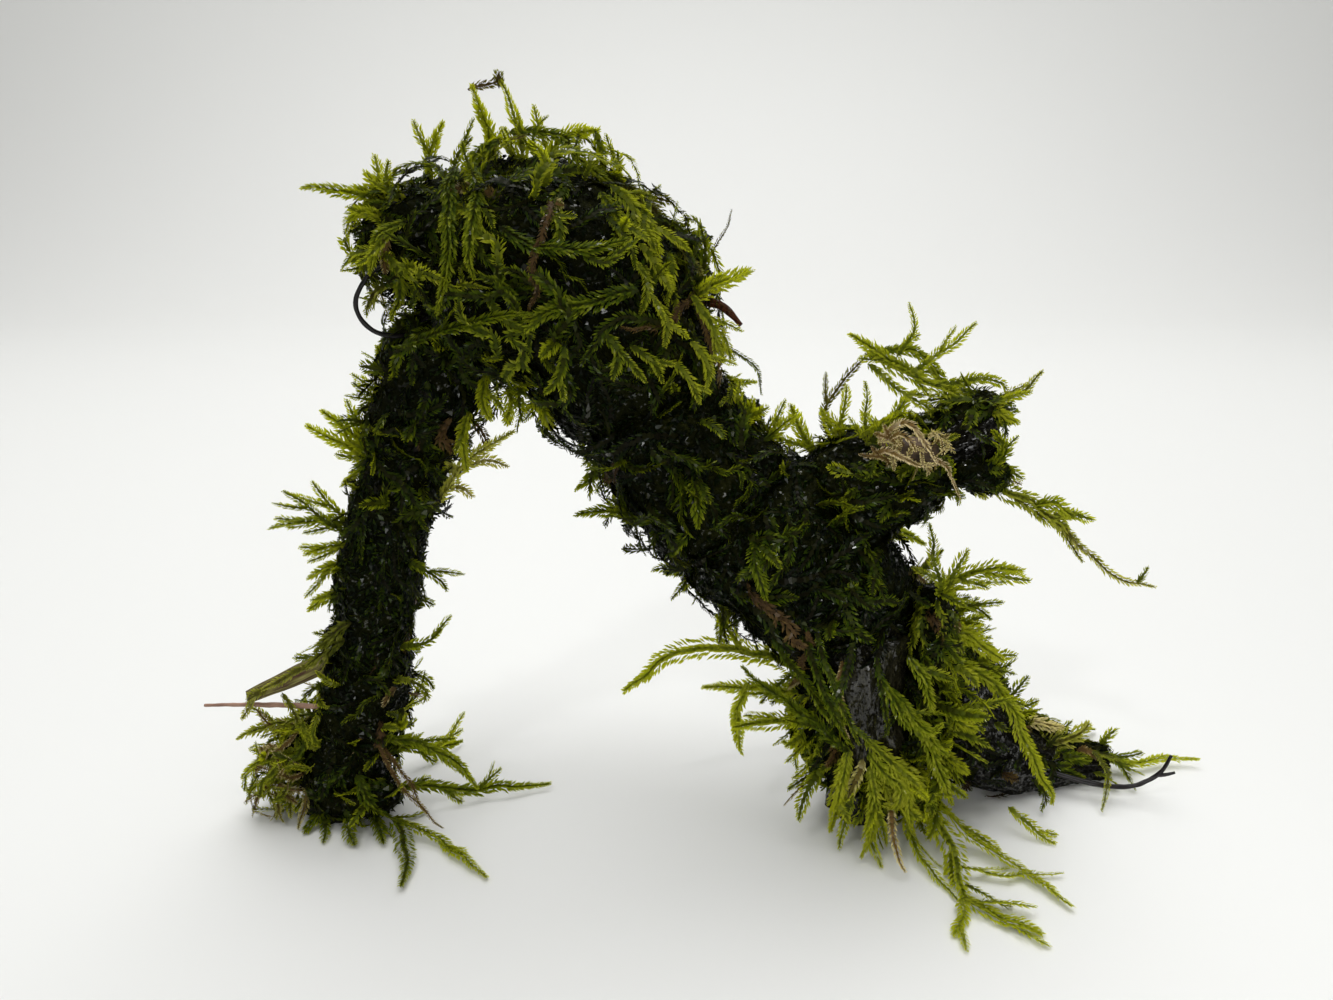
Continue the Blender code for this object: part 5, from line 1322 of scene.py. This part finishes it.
# The splinter: a flat sliver of reddish dark bark that has broken away from the wood and sticks out under
# the bright tuft of the crown.
SPLINTER = [(-7, 2, 76, 0.6), (-2, 0.5, 75.5, 0.6), (0.8, -1, 73, 0.3)]
RED_BARK = [(0.02, 0.006, 0.003), (0.07, 0.02, 0.009), (0.16, 0.05, 0.02), (0.35, 0.14, 0.06)]
splinter = smooth_route(SPLINTER, 0.5)
splinter = drawn_out(splinter, corners=10, relief=0.25, ridges=2.0, shaping=root_height, flatness=0.5)
splinter = set_in_place("bark_sliver", splinter, bark("reddish_bark", 0.05, 0.52, RED_BARK))
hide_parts("bark_splinter")


# The dead leaf and stalk: a brown strip of old leaf that crosses the slim leg above the foot, and a thin
# pinkish dry stalk that points left from the foot.
LEAF_STRIP = [(-53, 3, 26.5, 1.6), (-62, 2, 22.4, 1.5), (-70, 2, 18.6, 0.9)]
DRY_STALK = [(-58, 1, 17.6, 0.4), (-68, 2, 17.4, 0.35), (-77.5, 4, 16.2, 0.2)]

brown_leaf = Finish("dead_brown_leaf")
veins = brown_leaf.noise(brown_leaf.grain(4, 4, 0.25), 1.0, Detail=3.0)
brown_stops = [
    (0.34, (0.06, 0.02, 0.008)),
    (0.46, (0.12, 0.09, 0.018)),
    (0.58, (0.2, 0.19, 0.035)),
    (0.72, (0.34, 0.3, 0.1)),
]
brown_leaf.set(
    Base_Color=brown_leaf.ramp(veins, *brown_stops),
    Roughness=0.45 + 0.2 * veins,
    Normal=brown_leaf.bump(veins, 0.8, 0.0003),
)


def strip_height(place, outward, corner, travelled):
    """The folds that run along a dry strip, in millimetres."""
    return 0.22 * noise.noise(Vector((4 * corner.x, 4 * corner.y, travelled / 5)))


strip = drawn_out(
    smooth_route(LEAF_STRIP, 0.6), corners=24, relief=0.1, ridges=2.0, shaping=strip_height,
    facing=Vector(FRONT_AND_UP), flatness=0.3,
)
strip = set_in_place("dead_strip", strip, brown_leaf.material)
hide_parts("dead_leaf_strip")

pink_stalk = Finish("pinkish_dry_stalk")
stalk_tone = pink_stalk.noise(pink_stalk.node("TexCoord", {}, {}, 3), 400.0, Detail=3.0)
pink_stalk.set(
    Base_Color=pink_stalk.ramp(stalk_tone, (0.3, (0.16, 0.075, 0.05)), (0.7, (0.42, 0.25, 0.17))),
    Roughness=0.55,
)
stalk = smooth_route(DRY_STALK, 0.6)
stalk = drawn_out(stalk, corners=10, relief=0.15, ridges=1.5, shaping=root_height)
stalk = set_in_place("pink_stalk", stalk, pink_stalk.material)
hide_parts("dry_stalk")
